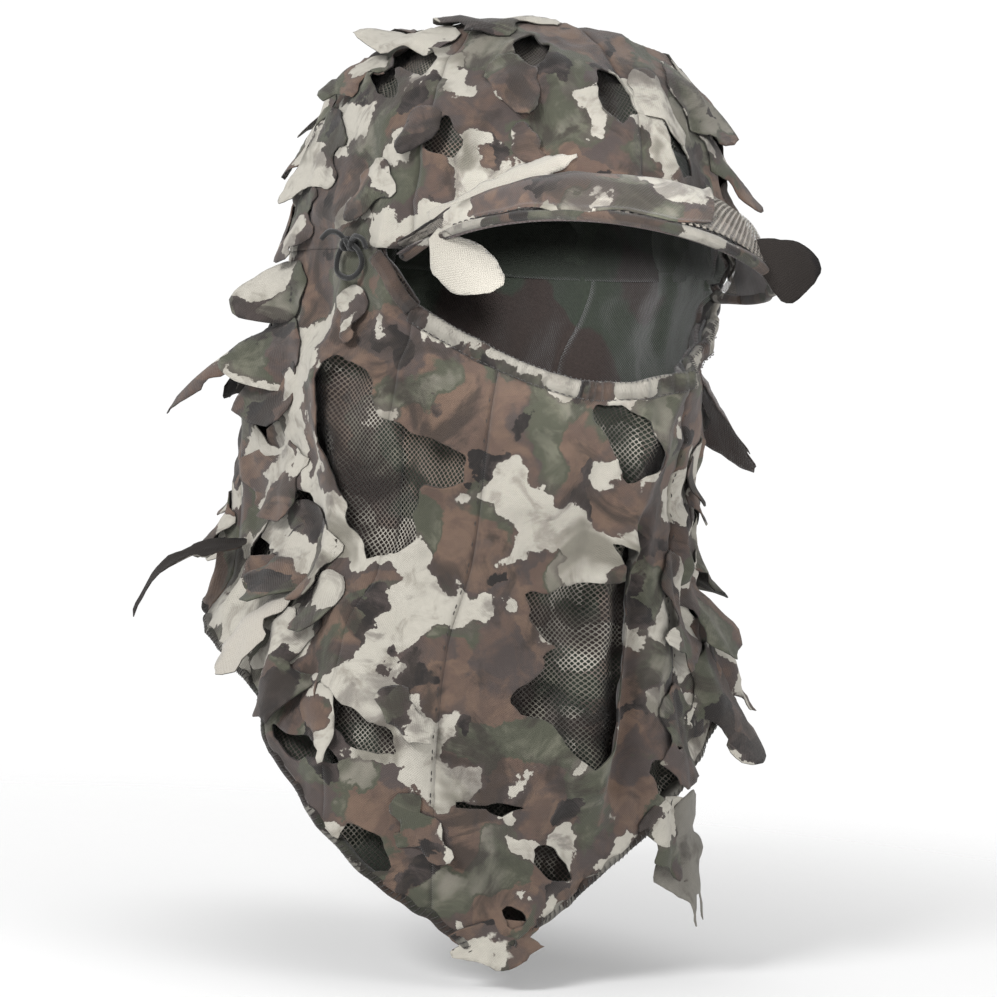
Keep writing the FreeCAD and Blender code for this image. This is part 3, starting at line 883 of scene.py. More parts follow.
def lowest_hem(edges):
    return float(hem_height(np.linspace(*edges, 60)).min())


def build_drape():
    spans = {
        "side": (FACE_EDGE_ANGLE, SIDE_SEAM_ANGLE, HOOD_BLEND),
        "back": (SIDE_SEAM_ANGLE, 180.0, None),
    }
    for side, sign in SIDES:
        for place, (start, end, across) in spans.items():
            edges = sorted((sign * start, sign * end))
            low = lowest_hem(edges)
            shell_piece(f"{place}_panel_{side}_cloth", f"{place}_panel_{side}", edges,
                        (low, 0.0), side_top, hem_top, "hood", across)
            lining_piece(f"{place}_{side}_mesh", f"{place}_lining_{side}", edges,
                         (low, LINING_CAUGHT), lining_top, "hood", across)


def build_face_cover():
    spans = {
        "face_panel_centre": (-CHEEK_SEAM_ANGLE, CHEEK_SEAM_ANGLE),
        "face_panel_left": (CHEEK_SEAM_ANGLE, FACE_EDGE_ANGLE),
        "face_panel_right": (-FACE_EDGE_ANGLE, -CHEEK_SEAM_ANGLE),
    }
    for name, edges in spans.items():
        shell_piece(f"{name}_cloth", name, edges, (lowest_hem(edges), -0.010), face_top, hem_top,
                    "face_cover", COVER_BLEND)
    lining_piece("face_mesh", "face_lining", (-FACE_EDGE_ANGLE, FACE_EDGE_ANGLE),
                 (-0.330, -0.010), face_top, "face_cover", COVER_BLEND)


# ---------- hems and cords

def ribbon(centres, outs, ups, section):
    """A closed band swept along a line; section gives its out and up offsets per point."""
    outs, ups = unit(outs), unit(ups)
    count, sides = section.shape[:2]
    points = (
        centres[:, None, :]
        + outs[:, None, :] * section[..., 0:1]
        + ups[:, None, :] * section[..., 1:2]
    )
    along = travelled(centres)
    around = np.linspace(0.0, 1.0, sides, endpoint=False) * 0.012
    threads = np.stack(np.broadcast_arrays(along[:, None], around[None, :]), -1)
    faces = []
    for i in range(count - 1):
        for j in range(sides):
            k = (j + 1) % sides
            faces.append([i * sides + j, i * sides + k, (i + 1) * sides + k, (i + 1) * sides + j])
    faces.append(list(range(sides))[::-1])
    faces.append([(count - 1) * sides + j for j in range(sides)])
    flat = points.reshape(-1, 3)
    return Pattern(flat, faces, flat, threads.reshape(-1, 2))


def round_section(count, half_out, half_up, sides, shift_out=0.0, shift_up=0.0):
    """A rounded flat cross-section, its sizes given once or for every point."""
    turn = np.linspace(0.0, math.tau, sides, endpoint=False)
    half_out, half_up, shift_out, shift_up = (
        np.broadcast_to(np.asarray(value, float), (count,))[:, None]
        for value in (half_out, half_up, shift_out, shift_up)
    )
    power = 0.6
    swing_out = np.sign(np.cos(turn)) * np.abs(np.cos(turn)) ** power
    swing_up = np.sign(np.sin(turn)) * np.abs(np.sin(turn)) ** power
    return np.stack([shift_out + half_out * swing_out, shift_up + half_up * swing_up], -1)


def edge_frames(angle, up, out):
    """Line along the hood, its outward direction and the direction across it, uphill."""
    line = on_hood(angle, up, np.full(angle.shape, out))
    normal = hood_normal(angle, up)
    along = np.gradient(line, axis=0)
    return line, normal, np.cross(normal, along)


def stitch_row(points, normals, gap, length, radius, lean=0.0):
    """Thread stitches laid along a line: thin bars, arched a little off the cloth."""
    travel = travelled(points)
    starts = np.arange(gap, travel[-1] - length, gap)
    parts = np.linspace(0.0, 1.0, 4)
    arch = (radius * (2.0 * np.sin(math.pi * parts) - 0.6))[:, None]
    sizes = radius * np.array([0.6, 1.0, 1.0, 0.6])
    section = round_section(len(parts), sizes, sizes, 5)
    patterns = []

    def place(distance):
        return np.array([np.interp(distance, travel, points[:, axis]) for axis in range(3)])

    for start in starts:
        first, last = place(start), place(start + length)
        share = int(np.searchsorted(travel, start + 0.5 * length).clip(0, len(points) - 1))
        normal = unit(normals[share])
        across = unit(np.cross(normal, last - first))
        first, last = first - across * lean, last + across * lean
        line = first + (last - first) * parts[:, None] + normal * arch
        ups = np.cross(normal, last - first)
        outs, ups = (np.repeat(way[None, :], len(parts), axis=0) for way in (normal, unit(ups)))
        patterns.append(ribbon(line, outs, ups, section))
    return patterns


def hem_piece(name, node, start, end, body, across):
    """Narrow turned hem with a wavy edge, and the overlock thread that closes it."""
    angle = steps(start, end, 0.9)
    up = hem_height(angle) + 0.0030
    line, outs, ups = edge_frames(angle, up, 0.0002)
    wave = 0.0010 * flat_noise(unroll(angle), up, 0.011, 31)
    wave = wave + 0.0007 * np.sin(unroll(angle) * math.tau / 0.0125)
    height = 0.0024 + 0.0005 * flat_noise(unroll(angle), up, 0.016, 32)
    inset = wave * 1.3 - 0.0026
    section = round_section(len(angle), 0.0032, height, 12, inset, wave)
    bands = [ribbon(line, outs, ups, section)]
    add_piece(name, bands, ("hem", 0.0), body, node, across)
    thread = []
    for side in (1.0, -1.0):
        edge = line + outs * (inset + side * 0.0033)[:, None] + unit(ups) * wave[:, None]
        thread += stitch_row(edge, outs * side, *HEM_STITCH)
    add_piece(name + "_thread", thread, THREAD, body, across=across)


def eye_hem_piece():
    """Gathered hem of the eye opening, with the elastic inside it."""
    angle = steps(-FACE_EDGE_ANGLE, FACE_EDGE_ANGLE, 0.6)
    up = eye_hem_height(angle) - 0.0042
    line, outs, ups = edge_frames(angle, up, 0.0006)
    u = unroll(angle)
    pleat = np.abs(np.sin(u * math.tau / 0.013 + 2.0 * flat_noise(u, up, 0.02, 41)))
    bulge = 0.0011 * (pleat - 0.5) + 0.0006 * flat_noise(u, up, 0.006, 42)
    height = 0.0046 + 0.0006 * flat_noise(u, up, 0.012, 43)
    section = round_section(len(angle), 0.0026 + 0.35 * bulge, height, 12, bulge - 0.0012, 0.3 * bulge)
    add_piece("eye_hem_band", [ribbon(line, outs, ups, section)], ("eye_hem", 0.0),
              "face_cover", "eye_hem", COVER_BLEND)
    cord = ribbon(line - outs * 0.0048, outs, ups, round_section(len(angle), 0.0008, 0.0028, 8))
    add_piece("eye_hem_elastic", [cord], ("cord", 0.0), "face_cover", "eye_elastic",
              COVER_BLEND)
    edge = line + outs * (bulge + 0.0018)[:, None] - unit(ups) * 0.0034
    thread = stitch_row(edge, outs, *EYE_HEM_STITCH)
    top = line + outs * (0.4 * bulge + 0.0007)[:, None] + unit(ups) * (height + 0.0002)[:, None]
    thread += stitch_row(top, ups, *EYE_EDGE_STITCH)
    add_piece("eye_hem_thread", thread, THREAD, "face_cover", across=COVER_BLEND)


def corner_pieces():
    """Bound edges from the eye opening up to the sweatband at each temple."""
    for side, sign in SIDES:
        angle = sign * steps(FACE_EDGE_ANGLE, TEMPLE_ANGLE, 0.4)
        up = side_top(angle) - 0.0030
        line, outs, ups = edge_frames(angle, up, 0.0012)
        wave = 0.0008 * flat_noise(unroll(angle), up, 0.007, 51)
        section = round_section(len(angle), 0.0013, 0.0042, 12, wave, wave)
        band = ribbon(line, outs, ups * sign, section)
        add_piece(f"eye_corner_band_{side}", [band], ("eye_hem", 0.0), "hood",
                  f"eye_corner_binding_{side}", HOOD_BLEND)


def cord_pattern(points, radius):
    """Round cord through a list of places."""
    points = np.array(points, float)
    between, sides = 6, 8
    rows = np.linspace(0, len(points) - 1, (len(points) - 1) * between + 1)
    low = np.clip(rows.astype(int), 0, len(points) - 2)
    part = (rows - low)[:, None]

    def at(index):
        return points[np.clip(index, 0, len(points) - 1)]

    before, first, last, after = at(low - 1), at(low), at(low + 1), at(low + 2)
    line = 0.5 * (
        2.0 * first + (last - before) * part
        + (2.0 * before - 5.0 * first + 4.0 * last - after) * part ** 2
        + (3.0 * first - before - 3.0 * last + after) * part ** 3
    )
    along = unit(np.gradient(line, axis=0))
    outs = np.zeros_like(line)
    guess = np.array([0.31, 0.17, 0.93])
    for row in range(len(line)):
        guess = unit(guess - along[row] * float(np.dot(guess, along[row])))
        outs[row] = guess
    return ribbon(line, outs, np.cross(along, outs), round_section(len(line), radius, radius, sides))


def temple_loops():
    """Elastic cord tied in a loop at each temple, with its knot and two short tails."""
    radius, thick = 0.0078, 0.0012
    gap = 0.12 * math.tau
    for side, sign in SIDES:
        angle = np.array([sign * (TEMPLE_ANGLE + 8.0)])
        up = np.array([-0.006])
        centre = hood_base(angle, up)[0] + hood_normal(angle, up)[0] * 0.0061
        face = unit(np.array([sign, -0.35, 0.0]))
        lift = np.array([0.0, 0.0, 1.0])
        flat = np.cross(face, lift)

        def at(across, above, out=0.0):
            return centre + flat * across + lift * above + face * out

        ring = [
            at(radius * math.sin(turn) * (1.0 + 0.06 * math.sin(3.0 * turn)),
               -radius * math.cos(turn), 0.0006 * math.sin(2.0 * turn))
            for turn in np.linspace(gap - math.pi, math.pi - gap, 15)
        ]
        ring = [at(-0.0010, 0.0088, 0.0016)] + ring + [at(0.0012, 0.0090, -0.0010)]
        knot = [
            at(0.0030 * math.sin(2.0 * turn), 0.0080 + 0.0024 * math.cos(3.0 * turn),
               0.0024 * math.sin(3.0 * turn))
            for turn in np.linspace(0.0, math.tau, 22)
        ]
        tails = [
            [at(0.0010, 0.0085, 0.0010), at(0.0050, 0.0125, 0.0030),
             at(0.0105, 0.0130, 0.0036), at(0.0150, 0.0098, 0.0034)],
            [at(-0.0010, 0.0082, 0.0012), at(-0.0060, 0.0112, 0.0034),
             at(-0.0112, 0.0098, 0.0038), at(-0.0140, 0.0058, 0.0040)],
        ]
        cords = [cord_pattern(line, thick) for line in [ring, knot] + tails]
        add_piece(f"temple_cord_{side}", cords, ("cord", 0.0), "hood",
                  f"temple_loop_{side}")


def sweatband_piece():
    """Soft band inside the crown's edge."""
    angle, part = np.meshgrid(np.linspace(-180.0, 180.0, 181), np.linspace(0.0, 1.0, 12),
                              indexing="ij")
    up = crown_edge(angle) + 0.0030 + 0.0310 * part
    out = -0.0052 - 0.0010 * np.sin(math.pi * part) - 0.0012 * part
    out = out - 0.0005 * flat_noise(unroll(angle), up, 0.012, 61)
    points = hood_base(angle, up) + hood_normal(angle, up) * out[..., None]
    band = grid_pattern(points, np.stack([unroll(angle), up], -1), outward=False)
    add_piece("sweatband_strip", [band], ("band", 0.0012), "hood", "sweatband")


# ---------- bill

def brim_base(across, out, lift=0.0):
    """Places on the bill: across -1 to 1 from right to left, out 0 at the root to 1."""
    across, out = np.broadcast_arrays(np.asarray(across, float), np.asarray(out, float))
    turn = np.radians(across * BRIM_ROOT_ANGLE)
    gap = BRIM_ROOT_GAP
    rise = BRIM_ROOT_RISE * (1.0 - across ** 2) - BRIM_ROOT_DROP
    root = np.stack([
        (CROWN_HALF_WIDTH + gap) * np.sin(turn), -(CROWN_HALF_LENGTH + gap) * np.cos(turn), rise,
    ], -1)
    turn = np.radians(across * BRIM_EDGE_ANGLE)
    edge = np.stack([
        BRIM_HALF_WIDTH * np.sin(turn), BRIM_CENTRE_Y - BRIM_REACH * np.cos(turn),
        BRIM_EDGE_RISE - BRIM_ARCH * across ** 2 - BRIM_TWIST * (across - across ** 3),
    ], -1)
    place = root + (edge - root) * out[..., None]
    bow = BRIM_BOW * np.sin(math.pi * out) * (1.0 - across ** 2)
    place[..., 2] += bow + lift
    return place


def brim_threads(across, out):
    """Thread places of cloth on the bill, in metres."""
    return np.stack([across * BRIM_MEAN_HALF, out * BRIM_MEAN_DEPTH], -1)


def brim_grid(columns, rows, height):
    across, out = np.meshgrid(columns, rows, indexing="ij")
    return grid_pattern(brim_base(across, out, height(across, out)), brim_threads(across, out))


def brim_piece(name, patterns, look, node=None, sheet=None):
    add_piece(name, patterns, look, "brim", node, BRIM_BLEND, sheet)


def brim_cover_height(across, out):
    """The loose top cover stands off the board and puckers at the bound edge."""
    rise = np.sin(math.pi * np.minimum(out, 0.97) ** 1.5)
    fall = 1.0 - (across / 0.93) ** 4
    points = brim_base(across, out)
    pucker = 0.0008 * noise(points, 0.014, 71) + 0.0012 * noise(points, 0.030, 72)
    return 0.0028 + BRIM_LOFT * rise * fall + pucker * np.clip(out * 6.0, 0.0, 1.0)


def brim_leaf_edge(across):
    """How far out the leafy cloth reaches over the bill's mesh."""
    wave = 0.018 * np.sin(across * 9.0) + 0.03 * flat_noise(across * BRIM_MEAN_HALF, across * 0.0, 0.012, 73)
    open_side = 1.0 / (1.0 + np.exp(-(across - 0.06) * 20.0))
    return 1.095 - 0.90 * open_side + wave


def brim_leafy_keep(across, out):
    """The leafy cloth's outline on the bill, with the slit torn in it."""
    edge = brim_leaf_edge(across) - out
    slit = 0.05 - np.abs(out - 0.30 - 0.25 * (across + 0.55))
    inside_slit = np.minimum(slit, 0.16 - np.abs(across + 0.60))
    return np.minimum(edge, -inside_slit)


def brim_leafy_pattern():
    """Leafy cloth over the bill's mesh, wrapped over the bound edge where it reaches it."""
    columns = np.linspace(-BRIM_SIDE, BRIM_SIDE, 131)
    places, faces = cut_sheet(brim_leafy_keep, columns, np.linspace(0.0, 1.17, 52))
    across, out = places[:, 0], places[:, 1]
    free = bell(brim_leafy_keep(across, out), 0.07)
    lift = brim_cover_height(across, out) + 0.0012 + 0.0022 * free
    length = np.linalg.norm(brim_base(across, 1.0) - brim_base(across, 0.0), axis=-1)
    flat_part, bend = 0.0008, 0.0028
    past = np.maximum(out - BRIM_TAPE_AT, 0.0) * 0.05
    hang = np.maximum(past - flat_part, 0.0)
    reach = bend * (1.0 - np.exp(-hang / bend))
    lift = lift - 1.15 * (hang - reach)
    on_board = np.minimum(out, BRIM_TAPE_AT) + (np.minimum(past, flat_part) + reach) / length
    points = brim_base(across, on_board, lift)
    prints = points + np.array([0.43, 0.12, 0.2])
    return Pattern(points, [face[::-1] for face in faces], prints, brim_threads(across, out))


def brim_under_height(across, out):
    return -0.0018 - 0.0006 * np.abs(np.sin(out * math.pi * 6.0))


def brim_board_height(across, out):
    return np.full(across.shape, 0.0008)


def brim_tape_and_thread():
    """Bound edge of the bill, with its stitches and the rows under the bill."""
    across = np.linspace(-0.97, 0.97, 161)
    edge = brim_base(across, BRIM_TAPE_AT)
    outs = edge - brim_base(across, 0.80)
    wave = 0.0004 * flat_noise(across * BRIM_MEAN_HALF, across * 0.0, 0.006, 74)
    section = round_section(len(across), 0.0026 + wave, 0.0024 + wave, 14, 0.0, 0.0002)
    ups = np.cross(np.gradient(edge, axis=0), outs)
    ups = ups * np.sign(ups[:, 2:3])
    brim_piece("brim_edge_tape", [ribbon(edge, outs, ups, section)], ("eye_hem", 0.0),
               "brim_edge_binding")

    stitched = slice(14, -14)
    columns = BRIM_COLUMNS[stitched]
    down = np.repeat(np.array([[0.0, 0.0, -1.0]]), len(columns), axis=0)
    thread = []
    for out in (0.17, 0.34, 0.50, 0.67, 0.83):
        thread += stitch_row(brim_base(columns, out, -0.0021), down, *BRIM_STITCH)
    inner_edge = (edge - unit(outs) * 0.0026 + unit(ups) * 0.0027)[stitched]
    thread += stitch_row(inner_edge, ups[stitched], *TAPE_STITCH)
    brim_piece("brim_thread", thread, THREAD)


def build_brim():
    rows = np.linspace(0.0, 0.985, 26)
    brim_piece("brim_mesh_cover", [brim_grid(BRIM_COLUMNS, rows, brim_cover_height)],
               ("mesh_light", 0.0005), "brim_top_cover", ("laid", ["brim_board_sheet"]))
    brim_piece("brim_leafy_cloth", [brim_leafy_pattern()], SHELL,
               sheet=("laid", ["brim_mesh_cover"]))
    brim_piece("brim_under_cloth", [brim_grid(BRIM_COLUMNS, rows, brim_under_height)],
               ("under", 0.0008), "brim_under_cover")
    brim_tape_and_thread()
    board = brim_grid(np.linspace(-0.74, 0.74, 75), np.linspace(0.05, 0.78, 18), brim_board_height)
    brim_piece("brim_board_sheet", [board], ("board", 0.0010), "brim_board")


# ---------- leaves

def leaf_profile(kind, part, seed):
    """Half-width of a leaf, as a share of its full half-width, along its length."""
    phase = random.Random(seed).uniform(0.0, math.tau)
    if kind == "blade":
        shape = np.sin(math.pi * np.clip(part, 0.0, 1.0) ** 0.62) ** 0.85
    elif kind == "round":
        shape = np.sqrt(np.clip(1.0 - (2.0 * part - 1.0) ** 2, 0.0, 1.0)) * 0.96 + 0.04
    elif kind == "oval":
        shape = np.sin(math.pi * np.clip(part * 0.94 + 0.06, 0.0, 1.0) ** 1.15) ** 0.6
    elif kind == "strip":
        shape = 0.62 + 0.38 * np.sin(math.pi * part) - 0.5 * np.clip(part - 0.90, 0.0, 1.0) * 8.0
    else:
        lobes = 1.0 + 0.26 * np.sin(part * math.tau * 2.3 + phase)
        shape = np.sin(math.pi * np.clip(part, 0.0, 1.0) ** 0.75) ** 0.7 * lobes
    return shape


def leaf_cut(length, width, kind, seed):
    """Flat outline of a leaf: places across and along it, and its faces."""
    bend = random.Random(seed * 7 + 1).uniform(-0.18, 0.18) * width

    def keep(across, along):
        part = along / length
        half = 0.5 * width * leaf_profile(kind, part, seed)
        ragged = 0.17 * width * flat_noise(across, along, 0.30 * width + 0.002, seed)
        ragged = ragged + 0.05 * width * flat_noise(across, along, 0.10 * width + 0.001, seed + 3)
        ragged = ragged * np.clip(part * 5.0, 0.2, 1.0) * (0.35 if kind in ("oval", "round") else 1.0)
        gap = half + ragged - np.abs(across - bend * np.sin(math.pi * part))
        if kind == "fork":
            cleft = (part - 0.52) * 0.42 * width
            gap = np.minimum(gap, np.abs(across) - cleft + 0.0008)
        return np.minimum(gap, length - along)

    size = min(LEAF_GRID, width / 7.0)
    columns = steps(-0.75 * width, 0.75 * width, size)
    rows = steps(0.0, length, size * 1.15)
    return cut_sheet(keep, columns, rows)


def bend_along(along, length, lift, curl):
    """Distance travelled and height gained by a leaf that lifts, then curls."""
    count = 59
    part = np.linspace(0.0, 1.0, count + 1)
    slope = np.radians(lift + curl * part ** 1.6) * np.clip(part * 9.0, 0.0, 1.0)
    run, rise = (
        np.concatenate([[0.0], np.cumsum(share(slope[1:]))]) * length / count
        for share in (np.cos, np.sin)
    )
    return np.interp(along / length, part, run), np.interp(along / length, part, rise)


def leaf_print(places, seed):
    """Print places of a leaf: its own flat places, moved to a part of the print of its own."""
    shift = np.array([lattice(np.array([seed, axis, 5]), 81) for axis in range(3)]) * 0.6
    return np.concatenate([places, np.zeros((len(places), 1))], axis=1) + shift


def hood_leaf(angle, up, swing, length, width, kind, lift, curl, seed, start=0.0016):
    """Leaf sewn to the hood at one end. Swing 0 hangs straight down."""
    places, faces = leaf_cut(length, width, kind, seed)
    across, along = places.T
    run, rise = bend_along(along, length, lift, curl)
    turn = math.radians(swing)
    radius = max(float(np.linalg.norm(hood_base(angle, up)[:2])), 0.035)
    u = across * math.cos(turn) + run * math.sin(turn)
    v = up + across * math.sin(turn) - run * math.cos(turn)
    part = along / length
    cup = 0.9 * (across ** 2) / width * np.sin(math.pi * np.clip(part, 0.0, 1.0))
    ripple = 0.0022 * part * flat_noise(across, along, 0.45 * width + 0.004, seed + 9)
    out = start + rise + ripple - cup * 0.8
    height = np.minimum(v, CROWN_ARC - 0.001)
    points = on_hood(angle + np.degrees(u / radius), height, np.maximum(out, 0.0011))
    return Pattern(points, [face[::-1] for face in faces], leaf_print(places, seed), places)


def free_leaf(root, along_way, face_way, length, width, kind, lift, curl, seed):
    """Leaf that starts at a place in space and runs along a direction."""
    places, faces = leaf_cut(length, width, kind, seed)
    across, along = places.T
    run, rise = bend_along(along, length, lift, curl)
    way = unit(np.array(along_way, float))
    side = unit(np.cross(way, np.array(face_way, float)))
    cup = 0.8 * across ** 2 / width
    ripple = 0.002 * (along / length) * flat_noise(across, along, 0.5 * width, seed + 9)
    out = np.cross(side, way) * (rise - cup + ripple)[:, None]
    points = np.array(root) + way * run[:, None] + side * across[:, None] + out
    return Pattern(points, faces, leaf_print(places, seed), places)


def leaf_piece(name, node, body, patterns, material="camo", across=None):
    reverse = "mauve" if material == "mauve" else "camo_back"
    add_piece(name, patterns, (material, reverse, LEAF_CLOTH), body, node,
              across, ("hung", []))


# Leaves sewn to the hood: angle, height in mm (arc length on the crown), swing,
# length and width in mm, outline, lift and curl in degrees, seed.
CROWN_LEAVES = (
    (-62, 116, -66, 48, 24, "oak", 12, 18, 101), (-86, 96, -50, 40, 26, "oak", 10, 22, 102),
    (-100, 70, -22, 56, 42, "oak", 4, 18, 103), (-60, 68, -10, 28, 18, "blade", 12, 12, 104),
    (-24, 148, -44, 50, 34, "oak", 3, 8, 105), (-44, 98, 26, 44, 20, "blade", 4, 8, 106),
    (6, 100, 14, 46, 22, "oak", 4, 10, 107), (24, 104, 36, 52, 34, "oak", 5, 16, 108),
    (34, 74, 24, 50, 32, "oak", 8, 24, 109), (42, 46, 16, 42, 28, "oak", 10, 34, 110),
    (-104, 36, -8, 44, 34, "oak", 5, 18, 111), (-70, 42, -24, 36, 22, "oak", 5, 12, 112),
    (-122, 88, -20, 56, 42, "oak", 6, 16, 115), (-150, 104, 16, 54, 40, "oak", 5, 14, 116),
    (178, 92, -12, 56, 42, "oak", 6, 14, 117), (150, 100, 18, 52, 38, "oak", 5, 18, 118),
    (120, 90, -10, 54, 40, "oak", 6, 16, 119), (92, 96, 20, 50, 36, "oak", 5, 16, 120),
    (72, 56, -12, 50, 38, "oak", 6, 18, 121), (104, 44, 10, 50, 38, "oak", 6, 16, 122),
    (134, 46, -16, 50, 38, "oak", 5, 14, 123), (166, 44, 14, 52, 40, "oak", 6, 16, 124),
    (-164, 44, -14, 52, 38, "oak", 5, 16, 125), (-134, 44, 12, 50, 38, "oak", 6, 14, 126),
    (-36, 62, 34, 28, 13, "blade", 4, 8, 127), (60, 120, 20, 46, 30, "oak", 5, 14, 128),
    (-140, 142, 30, 42, 28, "oak", 4, 12, 129), (140, 144, -30, 42, 28, "oak", 4, 12, 130),
)
SIDE_LEAVES_RIGHT = (
    (-98, -14, -66, 40, 34, "round", 18, 40, 201), (-97, -36, -46, 42, 32, "oak", 16, 30, 202),
    (-100, -50, -16, 38, 36, "round", 10, 26, 203), (-102, -82, 10, 52, 44, "oak", 4, 14, 204),
    (-92, -118, -4, 56, 46, "oak", 6, 20, 205), (-72, -150, 6, 32, 28, "round", 6, 26, 207),
    (-84, -126, 16, 44, 30, "oak", 5, 16, 208), (-76, -16, 10, 30, 16, "blade", 8, 10, 210),
    (-84, -168, 22, 60, 44, "oak", 4, 16, 211), (-126, -34, -4, 40, 34, "oak", 8, 20, 212),
    (-66, -196, 24, 44, 18, "blade", 5, 16, 213),
)
SIDE_LEAVES_LEFT = (
    (76, -20, 8, 54, 40, "oak", 5, 18, 301), (98, -28, -14, 52, 40, "oak", 6, 20, 302),
    (110, -74, 12, 54, 42, "oak", 6, 20, 303), (88, -88, 14, 52, 40, "oak", 6, 22, 304),
    (70, -110, 6, 60, 42, "oak", 8, 24, 306), (104, -128, -8, 50, 40, "oak", 8, 24, 307),
    (84, -152, 8, 50, 38, "oak", 8, 26, 308), (64, -164, 14, 54, 40, "oak", 10, 34, 309),
)
BACK_LEAVES = (
    (-128, -24, 12, 54, 42, "oak", 6, 18, 401), (-150, -22, -14, 52, 40, "oak", 6, 20, 402),
    (-174, -28, 10, 54, 42, "oak", 6, 18, 403), (162, -22, 14, 52, 40, "oak", 6, 20, 404),
    (138, -26, -12, 52, 40, "oak", 6, 18, 405), (-136, -84, -12, 54, 42, "oak", 6, 20, 406),
    (-158, -74, 14, 52, 38, "oak", 6, 18, 407), (178, -82, -14, 54, 42, "oak", 6, 20, 408),
    (154, -76, 10, 52, 40, "oak", 8, 18, 409), (130, -88, 12, 52, 40, "oak", 6, 20, 410),
    (-126, -118, 10, 46, 36, "oak", 8, 24, 411), (-148, -120, -10, 46, 38, "oak", 6, 26, 412),
    (-170, -118, 12, 46, 36, "oak", 6, 24, 413), (168, -120, -8, 46, 38, "oak", 8, 24, 414),
    (146, -122, 12, 44, 36, "oak", 6, 26, 415), (124, -126, -10, 44, 36, "oak", 6, 24, 416),
)
FACE_LEAVES = (
    (30, -128, 4, 66, 30, "oak", 5, 10, 501), (44, -124, 12, 64, 40, "oak", 8, 18, 502),
    (46, -176, 20, 62, 44, "oak", 8, 34, 503), (32, -192, -6, 54, 30, "oak", 5, 16, 504),
    (43, -84, 12, 26, 14, "blade", 16, 24, 505), (-17, -303, 10, 24, 34, "oak", 5, 12, 506),
    (-46, -200, 44, 40, 16, "blade", 7, 16, 507), (26, -246, 22, 44, 26, "oak", 5, 20, 509),
    (50, -74, 6, 44, 30, "oak", 6, 20, 510), (-40, -246, 36, 38, 20, "oak", 4, 12, 512),
)


def hood_leaves(rows):
    return [
        hood_leaf(angle, up / 1000.0, swing, length / 1000.0, width / 1000.0, *shape)
        for angle, up, swing, length, width, *shape in rows
    ]


def build_leaves():
    groups = (
        ("crown_leaf_cloth", "crown_leaves", "hood", CROWN_LEAVES, None),
        ("side_leaf_cloth_right", "side_leaves_right", "hood", SIDE_LEAVES_RIGHT, HOOD_BLEND),
        ("side_leaf_cloth_left", "side_leaves_left", "hood", SIDE_LEAVES_LEFT, HOOD_BLEND),
        ("back_leaf_cloth", "back_leaves", "hood", BACK_LEAVES, None),
        ("face_leaf_cloth", "face_leaves", "face_cover", FACE_LEAVES, COVER_BLEND),
    )
    for name, node, body, rows, across in groups:
        leaf_piece(name, node, body, hood_leaves(rows), across=across)
    start = brim_base(-0.84, 0.12, 0.007)
    strip = free_leaf(start, brim_base(-0.30, 0.10, 0.021) - start,
                      (-0.40, -0.80, 0.45), 0.074, 0.013, "strip", 5.0, -12.0, 601)
    leaf_piece("brim_leaf_strip", None, "brim", [strip], "cream", BRIM_BLEND)


def build_loose_leaves():
    root = brim_base(-0.86, 1.0) + np.array([-0.0035, -0.0036, 0.002])
    brow = free_leaf(root, (0.80, -0.42, -0.64), (-0.45, -1.0, 0.25), 0.040, 0.024, "oval", 2, 22, 701)
    leaf_piece("brow_leaf_cloth", "brow_leaf", "brow_leaf", [brow], "cream")
    root = brim_base(0.30, 1.0) + np.array([-0.006, 0.003, 0.012])
    tip = free_leaf(root, (0.84, -0.50, -0.14), (-0.50, -0.72, 0.50), 0.034, 0.028, "oval", 4, -40, 702)
    leaf_piece("brim_tip_leaf_cloth", "brim_tip_leaf", "brim_tip_leaf", [tip], "dark")
    # Angle, height, swing, length, width, outline, lift, curl, seed, start, material.
    rows = {
        "cheek_leaf_left": (80, -0.036, -16, 0.062, 0.044, "blade", 22, 22, 703, 0.0016, "mauve"),
        "strap_leaf_right": (-115, -0.043, -12, 0.052, 0.018, "blade", 42, -2, 704, 0.0066, "camo"),
        "strip_leaf_right": (-88, -0.147, -6, 0.062, 0.018, "strip", 12, 12, 705, 0.0016, "cream"),
        "curl_leaf_right": (-112, -0.141, -6, 0.064, 0.022, "blade", 70, -88, 706, 0.0046, "dark"),
        "hem_leaf_left": (38, -0.243, 12, 0.074, 0.026, "fork", 12, 10, 707, 0.0016, "camo_back"),
    }
    for name, row in rows.items():
        *shape, start, material = row
        leaf_piece(f"{name}_cloth", name, name, [hood_leaf(*shape, start)], material)


def seam_thread():
    """Stitch rows beside the cheek seams, left out where a window cuts the seam."""
    thread = []
    for sign in (-1.0, 1.0):
        up = np.linspace(-0.062, -0.250, 140)
        angle = np.full(up.shape, sign * (CHEEK_SEAM_ANGLE + 0.9))
        line = on_hood(angle, up, shell_out(angle, up) + 0.0001)
        normals = hood_normal(angle, up)
        for part in np.split(np.arange(len(up)), 20):
            if window_gap(angle[part], up[part]).min() > 0.001:
                thread += stitch_row(line[part], normals[part], *SEAM_STITCH)
    add_piece("cheek_seam_thread", thread, THREAD, "face_cover",
              across=COVER_BLEND)


